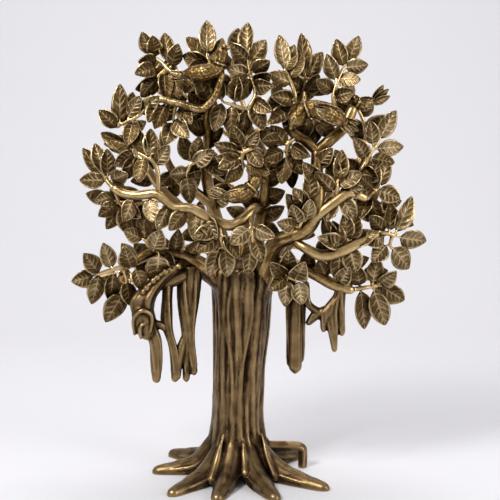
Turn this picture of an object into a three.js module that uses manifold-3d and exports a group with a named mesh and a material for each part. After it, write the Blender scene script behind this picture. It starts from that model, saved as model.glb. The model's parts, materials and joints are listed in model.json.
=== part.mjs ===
// Cast brass tree of life: a fluted hollow trunk on spreading roots, boughs pegged into its top,
// sprays of veined leaves pegged into the boughs, four birds and hanging air roots.
// Millimetres, +Z up, the ground at z = 0, the face of the tree towards -Y.
import * as THREE from "three";
import { mergeVertices } from "three/addons/utils/BufferGeometryUtils.js";
import Module from "manifold-3d";

const wasm = await Module();
wasm.setup();

// ---------------------------------------------------------------- driving dimensions, mm
const CROWN_WIDTH = 263; // over the outermost leaf tips
const CROWN_DEPTH = 84; // front to back of the leaf dome, without the leaves that lean out
const TRUNK_HEIGHT = 158; // ground to the top of the trunk casting
const TRUNK_RADIUS = 18.4; // over the ridges, at the waist
const TRUNK_HOLLOW = 14; // radius of the hollow at the ground
const TRUNK_RIDGES = 12;
const RIDGE_DEPTH = 2; // from the top of a ridge to the bottom of its groove
const ROOT_WIDTH = 17; // a root where it leaves the trunk
const LEAF_LENGTH = 20.5; // a leaf that is seen flat on
const LEAF_WIDTH = 11.5;
const LEAF_THICKNESS = 2.6; // at the midrib
const STEM_RADIUS = 2; // a spray's stem where it is pegged
const CLEARANCE = 0.3; // between two castings that touch
const DOME_RIM = 11; // how far the leaves stand out from the middle plane at the edge of the crown
const DOME_MIDDLE = 42; // and in the middle of it

// The layout below is drawn for these sizes, and place() carries it to the sizes above.
const DRAWN_WIDTH = 263;
const DRAWN_DEPTH = 84;
const DRAWN_TRUNK_HEIGHT = 158;
const DRAWN_LEAF_LENGTH = 20.5;
const DRAWN_LEAF_WIDTH = 11.5;

// ---------------------------------------------------------------- finishes
const finish = (color) => new THREE.MeshStandardMaterial({ color, metalness: 0.9, roughness: 0.45 });
const trunkBrass = finish(0x6e5c40);
const boughBrass = finish(0x9a8150);
const leafBrass = finish(0x857046);
const birdBrass = finish(0xa08448);
const rootBrass = finish(0x74603f);

// ---------------------------------------------------------------- solids and booleans
function solidOf(geometry) {
  const bare = geometry.clone();
  bare.deleteAttribute("normal");
  bare.deleteAttribute("uv");
  const merged = mergeVertices(bare, 1e-4);
  return new wasm.Manifold(
    new wasm.Mesh({
      numProp: 3,
      vertProperties: new Float32Array(merged.attributes.position.array),
      triVerts: new Uint32Array(merged.index.array),
    }),
  );
}

function geometryOf(solid) {
  const mesh = solid.getMesh();
  const geometry = new THREE.BufferGeometry();
  geometry.setAttribute("position", new THREE.BufferAttribute(new Float32Array(mesh.vertProperties), 3));
  geometry.setIndex(new THREE.BufferAttribute(new Uint32Array(mesh.triVerts), 1));
  geometry.computeVertexNormals();
  return geometry;
}

const joined = (solids) => solids.reduce((whole, one) => whole.add(one));

// A closed skin over a list of rings of points, each ring counter-clockwise seen from its far end.
function loft(rings) {
  const positions = rings.flat().flatMap((point) => [point.x, point.y, point.z]);
  const sides = rings[0].length;
  const index = [];
  for (let ring = 0; ring < rings.length - 1; ring++) {
    for (let side = 0; side < sides; side++) {
      const next = (side + 1) % sides;
      const low = ring * sides;
      const high = low + sides;
      index.push(low + side, low + next, high + next, low + side, high + next, high + side);
    }
  }
  const top = (rings.length - 1) * sides;
  for (let side = 1; side < sides - 1; side++) {
    index.push(0, side + 1, side, top, top + side, top + side + 1);
  }
  const geometry = new THREE.BufferGeometry();
  geometry.setAttribute("position", new THREE.Float32BufferAttribute(positions, 3));
  geometry.setIndex(index);
  return solidOf(geometry);
}

// A round limb along a smooth curve; radii are given at equal steps from its start to its end.
function limb(points, radii, { sides = 6, steps = points.length - 1, grow = 0 } = {}) {
  const curve = new THREE.CatmullRomCurve3(points, false, "centripetal");
  const frames = curve.computeFrenetFrames(steps, false);
  const rings = [];
  for (let step = 0; step <= steps; step++) {
    const along = (step / steps) * (radii.length - 1);
    const before = Math.min(Math.floor(along), radii.length - 2);
    const radius = THREE.MathUtils.lerp(radii[before], radii[before + 1], along - before) + grow;
    const centre = curve.getPointAt(step / steps);
    if (step === 0) centre.addScaledVector(frames.tangents[step], -grow);
    if (step === steps) centre.addScaledVector(frames.tangents[step], grow);
    const ring = [];
    for (let side = 0; side < sides; side++) {
      const angle = (side / sides) * 2 * Math.PI;
      const point = centre.clone();
      point.addScaledVector(frames.normals[step], Math.cos(angle) * radius);
      point.addScaledVector(frames.binormals[step], Math.sin(angle) * radius);
      ring.push(point);
    }
    rings.push(ring);
  }
  return loft(rings);
}

// ---------------------------------------------------------------- placing the layout
function place(x, y, z) {
  return new THREE.Vector3(
    (x * CROWN_WIDTH) / DRAWN_WIDTH,
    (y * CROWN_DEPTH) / DRAWN_DEPTH,
    z - DRAWN_TRUNK_HEIGHT + TRUNK_HEIGHT,
  );
}

// How far the leaf dome stands out from the middle plane at a place on the crown. The dome is drawn
// as an ellipse about the middle of the crown.
const DOME_HALF_WIDTH = 140;
const DOME_HALF_HEIGHT = 136;
const DOME_CENTRE_Z = 226;

function domeDepth(x, z) {
  const fromCentre = (x / DOME_HALF_WIDTH) ** 2 + ((z - DOME_CENTRE_Z) / DOME_HALF_HEIGHT) ** 2;
  return DOME_RIM + (DOME_MIDDLE - DOME_RIM) * Math.max(0, 1 - fromCentre);
}

// ---------------------------------------------------------------- leaves and sprays
// A leaf is a ridged lens: its blade runs from base to tip with the edges swept back and the midrib
// proud, and its stalk narrows to the heel, inside the stem that it grows from. A blade is so thin a
// wedge that its ribs, edges and points grow by more than the clearance, to keep its faces clear.
const RIB_GROWTH = 1.3;
const SWEEP_GROWTH = 0.5;
const EDGE_GROWTH = 3;
const POINT_GROWTH = 6;
const EDGE_SWEEP = 0.12; // how far the edges lie behind the midrib, as a share of the width
const RIB_PEAK = 0.4; // where along the leaf the midrib is thickest
const LEAF_CURL = 0.07; // how far the tip curls back, as a share of the length

function leaf(heel, base, tip, width, face, roll, grow) {
  const axis = tip.clone().sub(base);
  const length = axis.length();
  axis.normalize();
  const up = new THREE.Vector3(0, face, 0).addScaledVector(axis, -face * axis.y).normalize();
  up.applyAxisAngle(axis, roll);
  const side = new THREE.Vector3().crossVectors(axis, up);
  const half = LEAF_THICKNESS / 2 + grow * RIB_GROWTH;
  const sweep = width * EDGE_SWEEP + grow * SWEEP_GROWTH;
  const back = heel.distanceTo(base) > 0.1 ? base.clone().sub(heel).normalize() : axis;
  const root = heel.clone().addScaledVector(back, -grow * POINT_GROWTH);
  const point = (along, across, height) => {
    const curl = LEAF_CURL * length * along * along;
    return base
      .clone()
      .addScaledVector(axis, length * along)
      .addScaledVector(side, across)
      .addScaledVector(up, height - curl);
  };
  const edges = [[0.22, 0.42], [0.66, 0.45]]; // shares of the length and of the width
  const left = edges.map(([along, share]) => point(along, width * share + grow * EDGE_GROWTH, -sweep));
  const right = edges.map(([along, share]) => point(along, -width * share - grow * EDGE_GROWTH, -sweep));
  const end = point(1 + (grow * POINT_GROWTH) / length, 0, 0);
  const corners = [root, ...left, end, ...right, point(RIB_PEAK, 0, half), point(RIB_PEAK, 0, -half)];
  const [HEEL, L0, L1, END, R0, R1, TOP, BOTTOM] = corners.keys();
  const outline = [HEEL, L0, L1, END, R1, R0];
  const skin = (rib) => outline.map((corner, order) => [corner, outline[(order + 1) % outline.length], rib]);
  const top = skin(TOP);
  const bottom = skin(BOTTOM).map(([a, b, c]) => [a, c, b]);
  const geometry = new THREE.BufferGeometry();
  const positions = corners.flatMap((corner) => [corner.x, corner.y, corner.z]);
  geometry.setAttribute("position", new THREE.Float32BufferAttribute(positions, 3));
  geometry.setIndex([...top, ...bottom].flat());
  return solidOf(geometry);
}

// A leaf seen shorter than its true length leans out of the dome by a share of the missing length.
const LEAN_SHARE = 0.6;
const MOST_LEAN = 9;
function lean(run) {
  const missing = Math.sqrt(Math.max(0, DRAWN_LEAF_LENGTH ** 2 - run ** 2));
  return Math.min(MOST_LEAN, missing * LEAN_SHARE);
}

// drawn: [baseX, baseZ, tipX, tipZ, width]; baseY and tipY are the depths of its two ends.
const MOST_ROLL = 0.35; // radians; neighbouring leaves are rolled differently
function grownLeaf(heel, drawn, baseY, tipY, face, order, grow) {
  const [baseX, baseZ, tipX, tipZ, width = DRAWN_LEAF_WIDTH] = drawn;
  const base = place(baseX, baseY, baseZ);
  const reach = new THREE.Vector3(tipX - baseX, tipY - baseY, tipZ - baseZ);
  const tip = base.clone().addScaledVector(reach, LEAF_LENGTH / DRAWN_LEAF_LENGTH);
  const roll = MOST_ROLL * Math.sin(2.4 * order + baseX);
  return leaf(heel, base, tip, (width * LEAF_WIDTH) / DRAWN_LEAF_WIDTH, face, roll, grow);
}

// The place inside a stem that a leaf grows from: the nearest one seen from the face of the tree,
// a little way in from the stem's ends.
function nearestInside(points, x, z) {
  const curve = new THREE.CatmullRomCurve3(points, false, "centripetal");
  const spine = curve.getSpacedPoints(points.length - 1);
  let best = null;
  for (let piece = 0; piece < spine.length - 1; piece++) {
    const from = spine[piece];
    const run = spine[piece + 1].clone().sub(from);
    const share = ((x - from.x) * run.x + (z - from.z) * run.z) / (run.x ** 2 + run.z ** 2);
    const foot = from.clone().addScaledVector(run, THREE.MathUtils.clamp(share, 0.1, 0.9));
    const distance = Math.hypot(foot.x - x, foot.z - z);
    if (!best || distance < best.distance) best = { foot, distance };
  }
  return best;
}

// peg is the place on a bough where the stem is let in; the stem and its twigs are drawn on the dome.
function makeSpray(spray, grow) {
  const { face, lift } = spray;
  const depth = (x, z) => face * (domeDepth(x, z) + lift);
  const onDome = ([x, z]) => place(x, depth(x, z), z);
  const stem = [place(...spray.peg), ...spray.stem.map(onDome)];
  const parts = [limb(stem, [STEM_RADIUS, STEM_RADIUS * 0.75], { grow, sides: 5 })];
  const wood = [stem];
  for (const drawn of spray.twigs ?? []) {
    const fork = onDome(drawn[0]);
    const twig = [nearestInside(stem, fork.x, fork.z).foot, ...drawn.map(onDome)];
    parts.push(limb(twig, [STEM_RADIUS * 0.8, STEM_RADIUS * 0.65], { grow, sides: 5 }));
    wood.push(twig);
  }
  spray.leaves.forEach((drawn, order) => {
    const [baseX, baseZ, tipX, tipZ] = drawn;
    const base = onDome(drawn);
    const heels = wood.map((points) => nearestInside(points, base.x, base.z));
    const heel = heels.reduce((a, b) => (a.distance < b.distance ? a : b)).foot;
    const tipY = depth(tipX, tipZ) + face * lean(Math.hypot(tipX - baseX, tipZ - baseZ));
    parts.push(grownLeaf(heel, drawn, depth(baseX, baseZ), tipY, face, order, grow));
  });
  return joined(parts);
}

// Leaves set alternately along a stem, with one at its end: the way the back of the crown grows.
const LEAF_TURN = 0.85; // radians away from the stem
const WIDE_LEAF_TURN = 1.35; // every third leaf stands out further
function alternateLeaves(stem, count) {
  const curve = new THREE.SplineCurve(stem.map(([x, z]) => new THREE.Vector2(x, z)));
  const leaves = [];
  for (let order = 0; order < count; order++) {
    const along = (order + 0.6) / (count - 0.4);
    const foot = curve.getPointAt(Math.min(along, 1));
    const heading = curve.getTangentAt(Math.min(along, 1)).angle();
    const side = order % 2 === 0 ? 1 : -1;
    const turn = order === count - 1 ? 0 : side * (order % 3 === 2 ? WIDE_LEAF_TURN : LEAF_TURN);
    const length = DRAWN_LEAF_LENGTH - 2 + 2 * Math.sin(order * 1.7 + stem[0][0]);
    const tipX = foot.x + Math.cos(heading + turn) * length;
    const tipZ = foot.y + Math.sin(heading + turn) * length;
    leaves.push([foot.x, foot.y, tipX, tipZ]);
  }
  return leaves;
}

// ---------------------------------------------------------------- the layout: front sprays
// leaves: [baseX, baseZ, tipX, tipZ, width]; lift raises or lowers a spray on the dome.
const frontSprays = {
  spray_crown_left: {
    peg: [-27, -28, 285], lift: -9,
    stem: [[-38, 293], [-50, 302], [-58, 305], [-64, 311], [-70, 315]],
    leaves: [[-71, 317, -79, 333], [-69, 315, -70, 330], [-58, 311, -62.5, 333], [-57, 308, -51.5, 324],
      [-68, 313, -80, 311], [-68, 307, -83, 303], [-66, 299, -82.5, 291], [-62, 303, -60, 285],
      [-55, 303, -51, 286], [-67, 301, -78, 286, 13]],
  },
  spray_left_upper: {
    peg: [-31, -24, 276], lift: -2,
    stem: [[-42, 279], [-57, 283], [-68, 283], [-80, 273], [-94, 266]],
    twigs: [[[-54, 276], [-55, 268]]],
    leaves: [[-94, 268, -94, 296, 12], [-96, 264, -109, 277], [-88, 271, -79, 287],
      [-78, 274, -65, 287, 12],
      [-60, 281, -68, 264], [-84, 268, -88, 252], [-55, 268, -60, 253, 13], [-54, 270, -44, 258, 13],
      [-50, 280, -42, 268], [-66, 283, -72, 269]],
  },
  spray_left_high: {
    peg: [-66, -35, 217], lift: 0,
    stem: [[-66, 232], [-69, 240], [-77, 245], [-86, 249]],
    leaves: [[-84, 247, -97, 237, 12], [-76, 243, -80, 226, 12], [-71, 243, -71, 264],
      [-82, 250, -101, 256, 13],
      [-86, 251, -109, 260], [-82, 244, -91, 227, 12], [-67, 238, -58, 252], [-75, 245, -82, 265, 12]],
  },
  spray_left_tip: {
    peg: [-99, -28, 221], lift: -1,
    stem: [[-104, 226], [-107, 232]],
    twigs: [[[-96, 213], [-93, 207]]],
    leaves: [[-108, 231, -123, 249, 12], [-106, 233, -113, 253], [-103, 229, -103, 249],
      [-105, 226, -125, 226, 12],
      [-98, 215, -112, 211], [-96, 210, -110, 200], [-94, 207, -106, 190], [-91, 208, -89, 186, 12],
      [-92, 211, -79, 200], [-101, 227, -88, 231, 12]],
  },
  spray_left_inner: {
    peg: [-52, -11, 226], lift: -12,
    stem: [[-46, 232], [-42, 240]],
    leaves: [[-45, 232, -57, 231, 12], [-43, 240, -50, 259], [-40, 239, -36, 258], [-46, 230, -43, 209, 13],
      [-41, 238, -26, 248]],
  },
  spray_left_shoulder: {
    peg: [-70, -21, 174], lift: 2,
    stem: [[-74, 180], [-76, 184]],
    leaves: [[-76, 182, -77, 206], [-73, 184, -67, 203], [-78, 184, -90, 191], [-70, 176, -64, 191, 14],
      [-66, 173, -69, 147, 18], [-75, 184, -83, 205]],
  },
  spray_lower_left: {
    peg: [-86, -23, 165], lift: 0,
    stem: [[-92, 163], [-101, 160], [-112, 156], [-118, 154]],
    twigs: [[[-91, 153], [-93, 144]]],
    leaves: [[-112, 157, -122, 172, 13], [-102, 161, -107, 180, 12], [-87, 162, -91, 178, 14],
      [-117, 154, -131.4, 151, 13], [-112, 155, -118, 132, 13], [-101, 157, -104, 134, 12],
      [-91, 151, -88, 133, 12],
      [-94, 142, -108, 118, 16], [-84, 161, -78, 146, 12]],
  },
  spray_crown_mid_left: {
    peg: [-23, -30, 292], lift: -8,
    stem: [[-27, 306], [-31, 315]],
    leaves: [[-31, 316, -31, 342, 12], [-32, 313, -46, 330], [-26, 308, -20, 329, 12], [-26, 304, -40, 296],
      [-29, 309, -49, 316, 13], [-30, 310, -44, 306]],
  },
  spray_crown_centre: {
    peg: [-4, -20, 268], lift: -4,
    stem: [[-1, 278], [4, 288], [0, 303], [-2, 316]],
    twigs: [[[-10, 280], [-20, 283]]],
    leaves: [[-2, 316, -2, 340, 12], [0, 310, 12, 327, 13], [-1, 311, -14, 324], [-1, 302, -16, 306],
      [1, 299, -10, 283], [3, 294, 16, 294], [-2, 277, -7, 256], [3, 284, 15, 276], [1, 304, 14, 311],
      [1, 281, 10, 263, 12],
      [3, 297, 15, 302, 12],
      [-13, 280, -14, 259, 12], [-20, 282, -26, 262, 12], [-20, 284, -24, 302], [-11, 283, -9, 301]],
  },
  spray_crown_mid_right: {
    peg: [27, -26, 272], lift: -3,
    stem: [[32, 286], [29, 297], [24, 307]],
    leaves: [[25, 307, 21, 331], [28, 299, 38, 318], [29, 296, 14, 303], [31, 284, 16, 287, 12],
      [29, 277, 13, 268, 12], [25, 304, 32, 324], [31, 282, 24, 266]],
  },
  spray_crown_right_inner: {
    peg: [30, -29, 262], lift: -12,
    stem: [[38, 280], [40, 292], [40, 302]],
    twigs: [[[42, 274], [50, 268]]],
    leaves: [[39, 304, 38, 333], [42, 299, 51, 318], [40, 288, 50, 302], [38, 292, 26, 300],
      [42, 272, 37, 255, 13],
      [49, 268, 60, 256, 13], [46, 271, 47, 253, 12], [38, 281, 28, 272]],
  },
  spray_crown_right: {
    peg: [67, -27, 264], lift: -5,
    stem: [[62, 276], [60, 286], [64, 300], [70, 311]],
    leaves: [[68, 308, 62, 328, 12], [71, 311, 79, 331], [62, 298, 55, 317], [69, 307, 85, 309],
      [64, 299, 79, 299],
      [60, 290, 48, 298], [61, 286, 74, 290]],
  },
  spray_centre: {
    peg: [9, -17, 246], lift: -2,
    stem: [[2, 250], [-5, 246], [-5, 234]],
    leaves: [[-8, 248, -25, 253], [-7, 243, -22, 237], [-2, 250, 6, 262, 9], [-3, 238, 14, 233],
      [-5, 250, -13, 266],
      [-6, 238, -17, 226, 10], [-6, 240, -24, 244], [0, 249, 8, 238]],
  },
  spray_droop_left: {
    peg: [-22, -40, 197], lift: 4,
    stem: [[-21, 188], [-19, 179]],
    leaves: [[-23, 187, -38, 177, 13], [-22, 179, -30, 157, 12], [-18, 179, -16, 157, 12],
      [-24, 192, -40, 188],
      [-18, 188, -8, 172, 10]],
  },
  spray_droop_right: {
    peg: [0, -37, 202], lift: 5,
    stem: [[1, 192], [2, 181]],
    leaves: [[1, 181, -2, 159, 12], [3, 186, 9, 170, 12], [3, 194, 17, 188], [0, 194, -14, 183, 13]],
  },
  spray_right_inner_low: {
    peg: [34, -33, 188], lift: 2,
    stem: [[36, 196], [38, 200]],
    twigs: [[[41, 206], [43, 214]]],
    leaves: [[40, 198, 43, 214], [35, 196, 30, 210], [33, 194, 20, 198], [37, 202, 26, 218],
      [43, 213, 42, 234, 12],
      [41, 208, 31, 222]],
  },
  spray_right_inner_high: {
    peg: [34, -30, 258], lift: -6,
    stem: [[28, 254], [26, 246]],
    leaves: [[24, 256, 9, 255, 12], [24, 248, 10, 243, 12], [29, 249, 37, 231, 12], [26, 244, 22, 225, 12],
      [30, 252, 42, 244], [26, 252, 15, 266], [28, 244, 31, 221, 12]],
  },
  spray_right_mid: {
    peg: [61, -38, 212], lift: 3,
    stem: [[62, 219], [62, 227]],
    leaves: [[60, 224, 59, 245], [63, 227, 66, 249], [63, 223, 80, 233, 12], [60, 219, 46, 233, 12],
      [65, 215, 76, 198, 12], [60, 216, 54, 198], [64, 219, 81, 221]],
  },
  spray_right_mid_low: {
    peg: [66, -36, 176], lift: 3,
    stem: [[68, 180], [72, 184]],
    leaves: [[64, 178, 60, 198, 12], [73, 183, 77, 203, 12], [75, 181, 91, 190, 12], [65, 175, 64, 152, 13],
      [72, 178, 77, 159, 15], [66, 181, 49, 187, 12], [70, 184, 68, 204], [63, 179, 52, 200, 12]],
  },
  spray_right_far: {
    peg: [84, -33, 213], lift: -3,
    stem: [[88, 217], [93, 220]],
    leaves: [[87, 219, 92, 239, 12], [94, 222, 101, 242], [93, 219, 109, 213, 13], [87, 214, 94, 195, 12],
      [86, 214, 79, 200], [90, 220, 79, 230]],
  },
  spray_right_tip: {
    peg: [93, -28, 189], lift: -1,
    stem: [[101, 187], [108, 185]],
    twigs: [[[103, 180], [104, 175]]],
    leaves: [[102, 189, 103, 210, 12], [107, 188, 119, 214, 13], [110, 184, 131.5, 179, 16],
      [105, 176, 119, 159, 16],
      [100, 178, 89, 168, 13], [98, 189, 87, 201], [98, 185, 83, 182, 12]],
  },
  spray_right_upper: {
    peg: [70, -36, 219], lift: -7,
    stem: [[76, 228], [82, 236], [87, 245], [94, 255]],
    leaves: [[94, 256, 107, 277, 12], [92, 249, 113, 250, 12], [84, 242, 75, 257], [89, 252, 87, 269],
      [88, 242, 105, 239, 12], [78, 232, 67, 242], [82, 235, 92, 226]],
  },
  spray_lower_right: {
    peg: [76, -24, 146], lift: -4,
    stem: [[86, 146], [96, 147]],
    leaves: [[97, 147, 116, 134, 15], [92, 144, 102, 115, 15], [82, 144, 87, 112, 14],
      [81, 148, 78, 164, 12],
      [91, 149, 94, 169, 13], [96, 149, 108, 158, 12]],
  },
  spray_lower_mid: {
    peg: [27, -21, 158], lift: 0,
    stem: [[28, 157], [32, 154]],
    leaves: [[27, 155, 25, 133, 12], [35, 153, 38, 136, 13], [33, 155, 39, 168, 14], [27, 160, 28, 177, 14],
      [26, 158, 15, 168], [26, 156, 14, 148]],
  },
};
for (const spray of Object.values(frontSprays)) spray.face = -1;

// ---------------------------------------------------------------- the layout: back sprays
const backSprays = {
  spray_back_lower_left: { peg: [-32, 20, 174], lift: -2, stem: [[-52, 170], [-76, 163], [-102, 152]],
    count: 8 },
  spray_back_left: { peg: [-60, 28, 207], lift: -1, stem: [[-76, 206], [-92, 204], [-108, 208]], count: 7 },
  spray_back_left_high: { peg: [-83, 25, 239], lift: -2, stem: [[-88, 244], [-94, 254], [-92, 270]],
    count: 6 },
  spray_back_crown_left: { peg: [0, 31, 246], lift: -3, stem: [[-24, 262], [-46, 284], [-66, 302]],
    count: 9 },
  spray_back_crown: { peg: [-4, 26, 277], lift: -2, stem: [[-8, 288], [-14, 302], [-12, 318]], count: 7 },
  spray_back_crown_right: { peg: [0, 30, 256], lift: 1, stem: [[18, 270], [34, 288], [46, 306]], count: 8 },
  spray_back_right_high: { peg: [83, 25, 237], lift: -2, stem: [[88, 250], [87, 266], [78, 284]],
    count: 6 },
  spray_back_right: { peg: [60, 28, 209], lift: 0, stem: [[78, 206], [94, 202], [108, 196]], count: 7 },
  spray_back_lower_right: { peg: [26, 20, 173], lift: -3, stem: [[48, 168], [72, 160], [92, 146]],
    count: 8 },
  spray_back_low: { peg: [-4, 26, 180], lift: 2, stem: [[-10, 176], [-14, 166]], count: 5 },
  spray_back_middle: { peg: [2, 33, 214], lift: 3, stem: [[-12, 216], [-25, 223], [-36, 234]], count: 6 },
};
for (const spray of Object.values(backSprays)) {
  spray.face = 1;
  spray.leaves = alternateLeaves(spray.stem, spray.count);
}

// ---------------------------------------------------------------- the layout: boughs
// [x, y, z] along the middle of each bough, and its radii from butt to end.
const boughs = {
  bough_centre: {
    path: [[-2, -3, 146], [2, -6, 165], [6, -10, 185], [10, -13, 205], [12, -15, 235], [8, -17, 247],
      [2, -18, 258],
      [-4, -20, 269]],
    radii: [7.5, 6, 5, 4.5, 3.5],
    leaves: [[11, 222, 26, 233, 12], [10, 211, 25, 218, 12], [11, 232, 22, 247], [8, 205, -6, 212],
      [11, 226, -2, 234],
      [9, 200, 25, 206, 12], [8, 192, 22, 185, 12]],
  },
  bough_right_main: {
    path: [[8, -8, 148], [13, -16, 166], [20, -26, 181], [30, -32, 186], [40, -35, 191], [46, -37, 200],
      [49, -37, 214], [48, -34, 232], [48, -31, 250]],
    radii: [7, 5.5, 4.5, 4, 3.5],
    leaves: [[48, 236, 58, 250], [48, 226, 38, 240]],
  },
  bough_left_low: {
    path: [[-20, -5, 146], [-31, -9, 157], [-44, -14, 167], [-60, -18, 172], [-74, -21, 172],
      [-87, -23, 165]],
    radii: [8, 7, 5, 4, 3.2],
    leaves: [[-56, 172, -52, 190], [-64, 174, -56, 160, 12], [-46, 169, -36, 182]],
  },
  bough_upper_left: {
    path: [[-14, 3, 148], [-20, 3, 175], [-28, 0, 205], [-33, -6, 235], [-31, -14, 254], [-31, -24, 276],
      [-25, -28, 288], [-23, -30, 296]],
    radii: [7, 5.5, 4.5, 3.6, 3],
    leaves: [[-31, 274, -44, 288, 12], [-31, 262, -45, 266, 12], [-32, 250, -20, 264], [-29, 284, -38, 300],
      [-30, 268, -16, 272], [-33, 238, -20, 230], [-28, 207, -14, 214]],
  },
  bough_right_low: {
    path: [[6, 2, 146], [14, -10, 164], [22, -18, 166], [28, -21, 157], [31, -20, 148]],
    radii: [6, 5.5, 4.5, 4.5],
  },
  bough_back_left: {
    path: [[-14, 8, 148], [-30, 20, 172], [-50, 26, 198], [-70, 28, 218], [-84, 25, 241]],
    radii: [6.5, 5, 4, 3.2],
    face: 1,
    leaves: [[-38, 182, -54, 178], [-42, 188, -38, 206], [-55, 203, -70, 196], [-60, 208, -56, 228],
      [-74, 222, -92, 222],
      [-78, 230, -70, 248], [-82, 236, -98, 234]],
  },
  bough_back_right: {
    path: [[2, 9, 148], [26, 20, 172], [48, 26, 198], [66, 28, 218], [84, 25, 239]],
    radii: [6.5, 5, 4, 3.2],
    face: 1,
    leaves: [[34, 182, 50, 180], [38, 187, 32, 206], [50, 200, 66, 194], [56, 207, 50, 226],
      [70, 222, 88, 220],
      [74, 228, 66, 246], [80, 234, 98, 234]],
  },
  bough_back_centre: {
    path: [[-6, 13, 148], [-4, 24, 178], [2, 33, 214], [0, 31, 250], [-4, 26, 279]],
    radii: [6.5, 5, 4, 3.2],
    face: 1,
    leaves: [[-3, 184, 14, 188], [-2, 194, -18, 200], [1, 206, 17, 212], [2, 226, 18, 234],
      [1, 238, -14, 250],
      [0, 252, 16, 262], [-3, 268, -19, 276]],
  },
  bough_left_middle: {
    path: [[-28, 0, 206], [-40, -6, 216], [-52, -11, 226], [-60, -13, 238], [-64, -14, 254],
      [-62, -13, 270]],
    radii: [4, 3.6, 3, 2.2],
    leaves: [[-63, 268, -74, 282], [-62, 268, -56, 286], [-63, 256, -52, 264], [-56, 231, -66, 222],
      [-47, 221, -36, 232]],
  },
  branch_front_left: {
    path: [[8, -13, 203], [3, -30, 206], [-5, -38, 199], [-13, -40, 195], [-22, -40, 197], [-31, -40, 201],
      [-42, -39, 207], [-54, -38, 208], [-67, -35, 217], [-80, -33, 216], [-91, -30, 217],
      [-100, -28, 222]],
    radii: [3.2, 3.4, 3.2, 3, 2.8],
    leaves: [[-46, 206, -57, 192, 12], [-38, 204, -40, 185, 12], [-58, 209, -66, 192, 12],
      [-84, 214, -90, 198, 12],
      [-32, 202, -24, 186], [-72, 214, -70, 198]],
  },
  branch_fork_left: {
    path: [[48, -31, 248], [41, -31, 254], [33, -30, 259], [27, -28, 266], [27, -26, 274]],
    radii: [2.8, 2.6],
  },
  branch_fork_right: {
    path: [[49, -31, 248], [58, -30, 256], [66, -28, 263], [71, -26, 271], [75, -24, 281]],
    radii: [3, 2.8],
  },
  branch_right_second: {
    path: [[43, -36, 195], [52, -40, 205], [61, -39, 212], [71, -37, 218], [85, -33, 213]],
    radii: [3.4, 3.6, 3],
  },
  branch_right_swoop: {
    path: [[29, -31, 185], [40, -37, 178], [52, -38, 173], [66, -36, 176], [79, -33, 182], [94, -28, 189]],
    radii: [3.2, 4.2, 4.2, 3.4],
  },
  branch_right_low: {
    path: [[24, -19, 164], [36, -20, 163], [48, -21, 157], [60, -23, 150], [68, -24, 147], [77, -24, 145]],
    radii: [3.4, 5, 4.6, 3.4],
    leaves: [[56, 155, 50, 168, 12], [66, 150, 72, 164, 12], [44, 162, 42, 176]],
  },
};

// Some boughs carry leaves of their own, cast straight on to them, a little off their middle.
const LEAF_SEAT = 1.5;
function makeBough({ path, radii, leaves = [], face = -1 }, grow) {
  const middle = path.map((point) => place(...point));
  const parts = [limb(middle, radii, { grow })];
  leaves.forEach((drawn, order) => {
    const [baseX, baseZ, tipX, tipZ] = drawn;
    const base = place(baseX, 0, baseZ);
    const heel = nearestInside(middle, base.x, base.z).foot;
    const baseY = (heel.y * DRAWN_DEPTH) / CROWN_DEPTH + face * LEAF_SEAT;
    const tipY = baseY + face * lean(Math.hypot(tipX - baseX, tipZ - baseZ));
    parts.push(grownLeaf(heel, drawn, baseY, tipY, face, order, grow));
  });
  return joined(parts);
}

// ---------------------------------------------------------------- hanging air roots
// Each strand is [path, radii]; the strands of one casting are run together.
const hangingRoots = {
  air_root_outer_left: [
    [[[-47, -15, 165], [-53, -24, 163], [-62, -28, 157], [-72, -29, 147], [-79, -29, 136], [-76, -30, 124],
      [-70, -30, 110], [-69, -30, 94], [-69, -30, 77]], [4, 4.4, 5, 7, 9.5, 8, 5.4, 4.8, 4.6, 3.4]],
  ],
  air_root_thin_left: [
    [[[-58, -19, 170], [-60, -24, 152], [-61, -26, 134], [-61, -27, 120], [-57, -27, 104], [-55.5, -27, 92],
      [-55.5, -27, 77]], [3, 3.8, 4, 4.8, 3.4, 3.6, 3.2]],
  ],
  air_root_bundle_left: [
    [[[-48, -15, 165], [-49, -20, 142], [-47, -22, 108], [-47.5, -22, 76]], [5.4, 5, 4, 3]],
    [[[-40.5, -13, 162], [-41, -19, 142], [-44, -22, 112], [-41.5, -22, 81]], [5, 4.2, 3.4, 3.2]],
  ],
  air_root_slab_right: [
    [[[30, -20, 150], [30, -20, 125], [30, -20, 87]], [3.6, 3.8, 3.4, 3.2]],
    [[[34, -21, 150], [34, -22, 125], [33.5, -22, 82]], [3.6, 3.6, 3.4, 3]],
    [[[38, -20, 146], [38, -20, 125], [37.5, -20, 90]], [3.6, 3.6, 3.4, 3]],
  ],
  air_root_fringe_right: [
    [[[67, -24, 147], [66.5, -24, 130], [68, -24, 111]], [3.6, 3.8, 2.6]],
    [[[66, -24, 146], [61, -25, 126], [62.5, -25, 99]], [3.4, 4.6, 2.4]],
    [[[65, -24, 142], [56, -25, 127], [54, -25, 114]], [3.4, 4.6, 2.4]],
    [[[59, -24, 131], [49, -23, 127], [42, -22, 119]], [4.4, 4.2, 2.6]],
    [[[52, -24, 128], [43, -22, 135], [41, -21, 152]], [3.4, 3, 2.8]],
  ],
};

function makeHangingRoot(strands, grow) {
  const strand = ([path, radii]) => {
    const steps = Math.max(radii.length, path.length) - 1;
    return limb(path.map((point) => place(...point)), radii, { grow, steps });
  };
  return joined(strands.map(strand));
}

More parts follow.
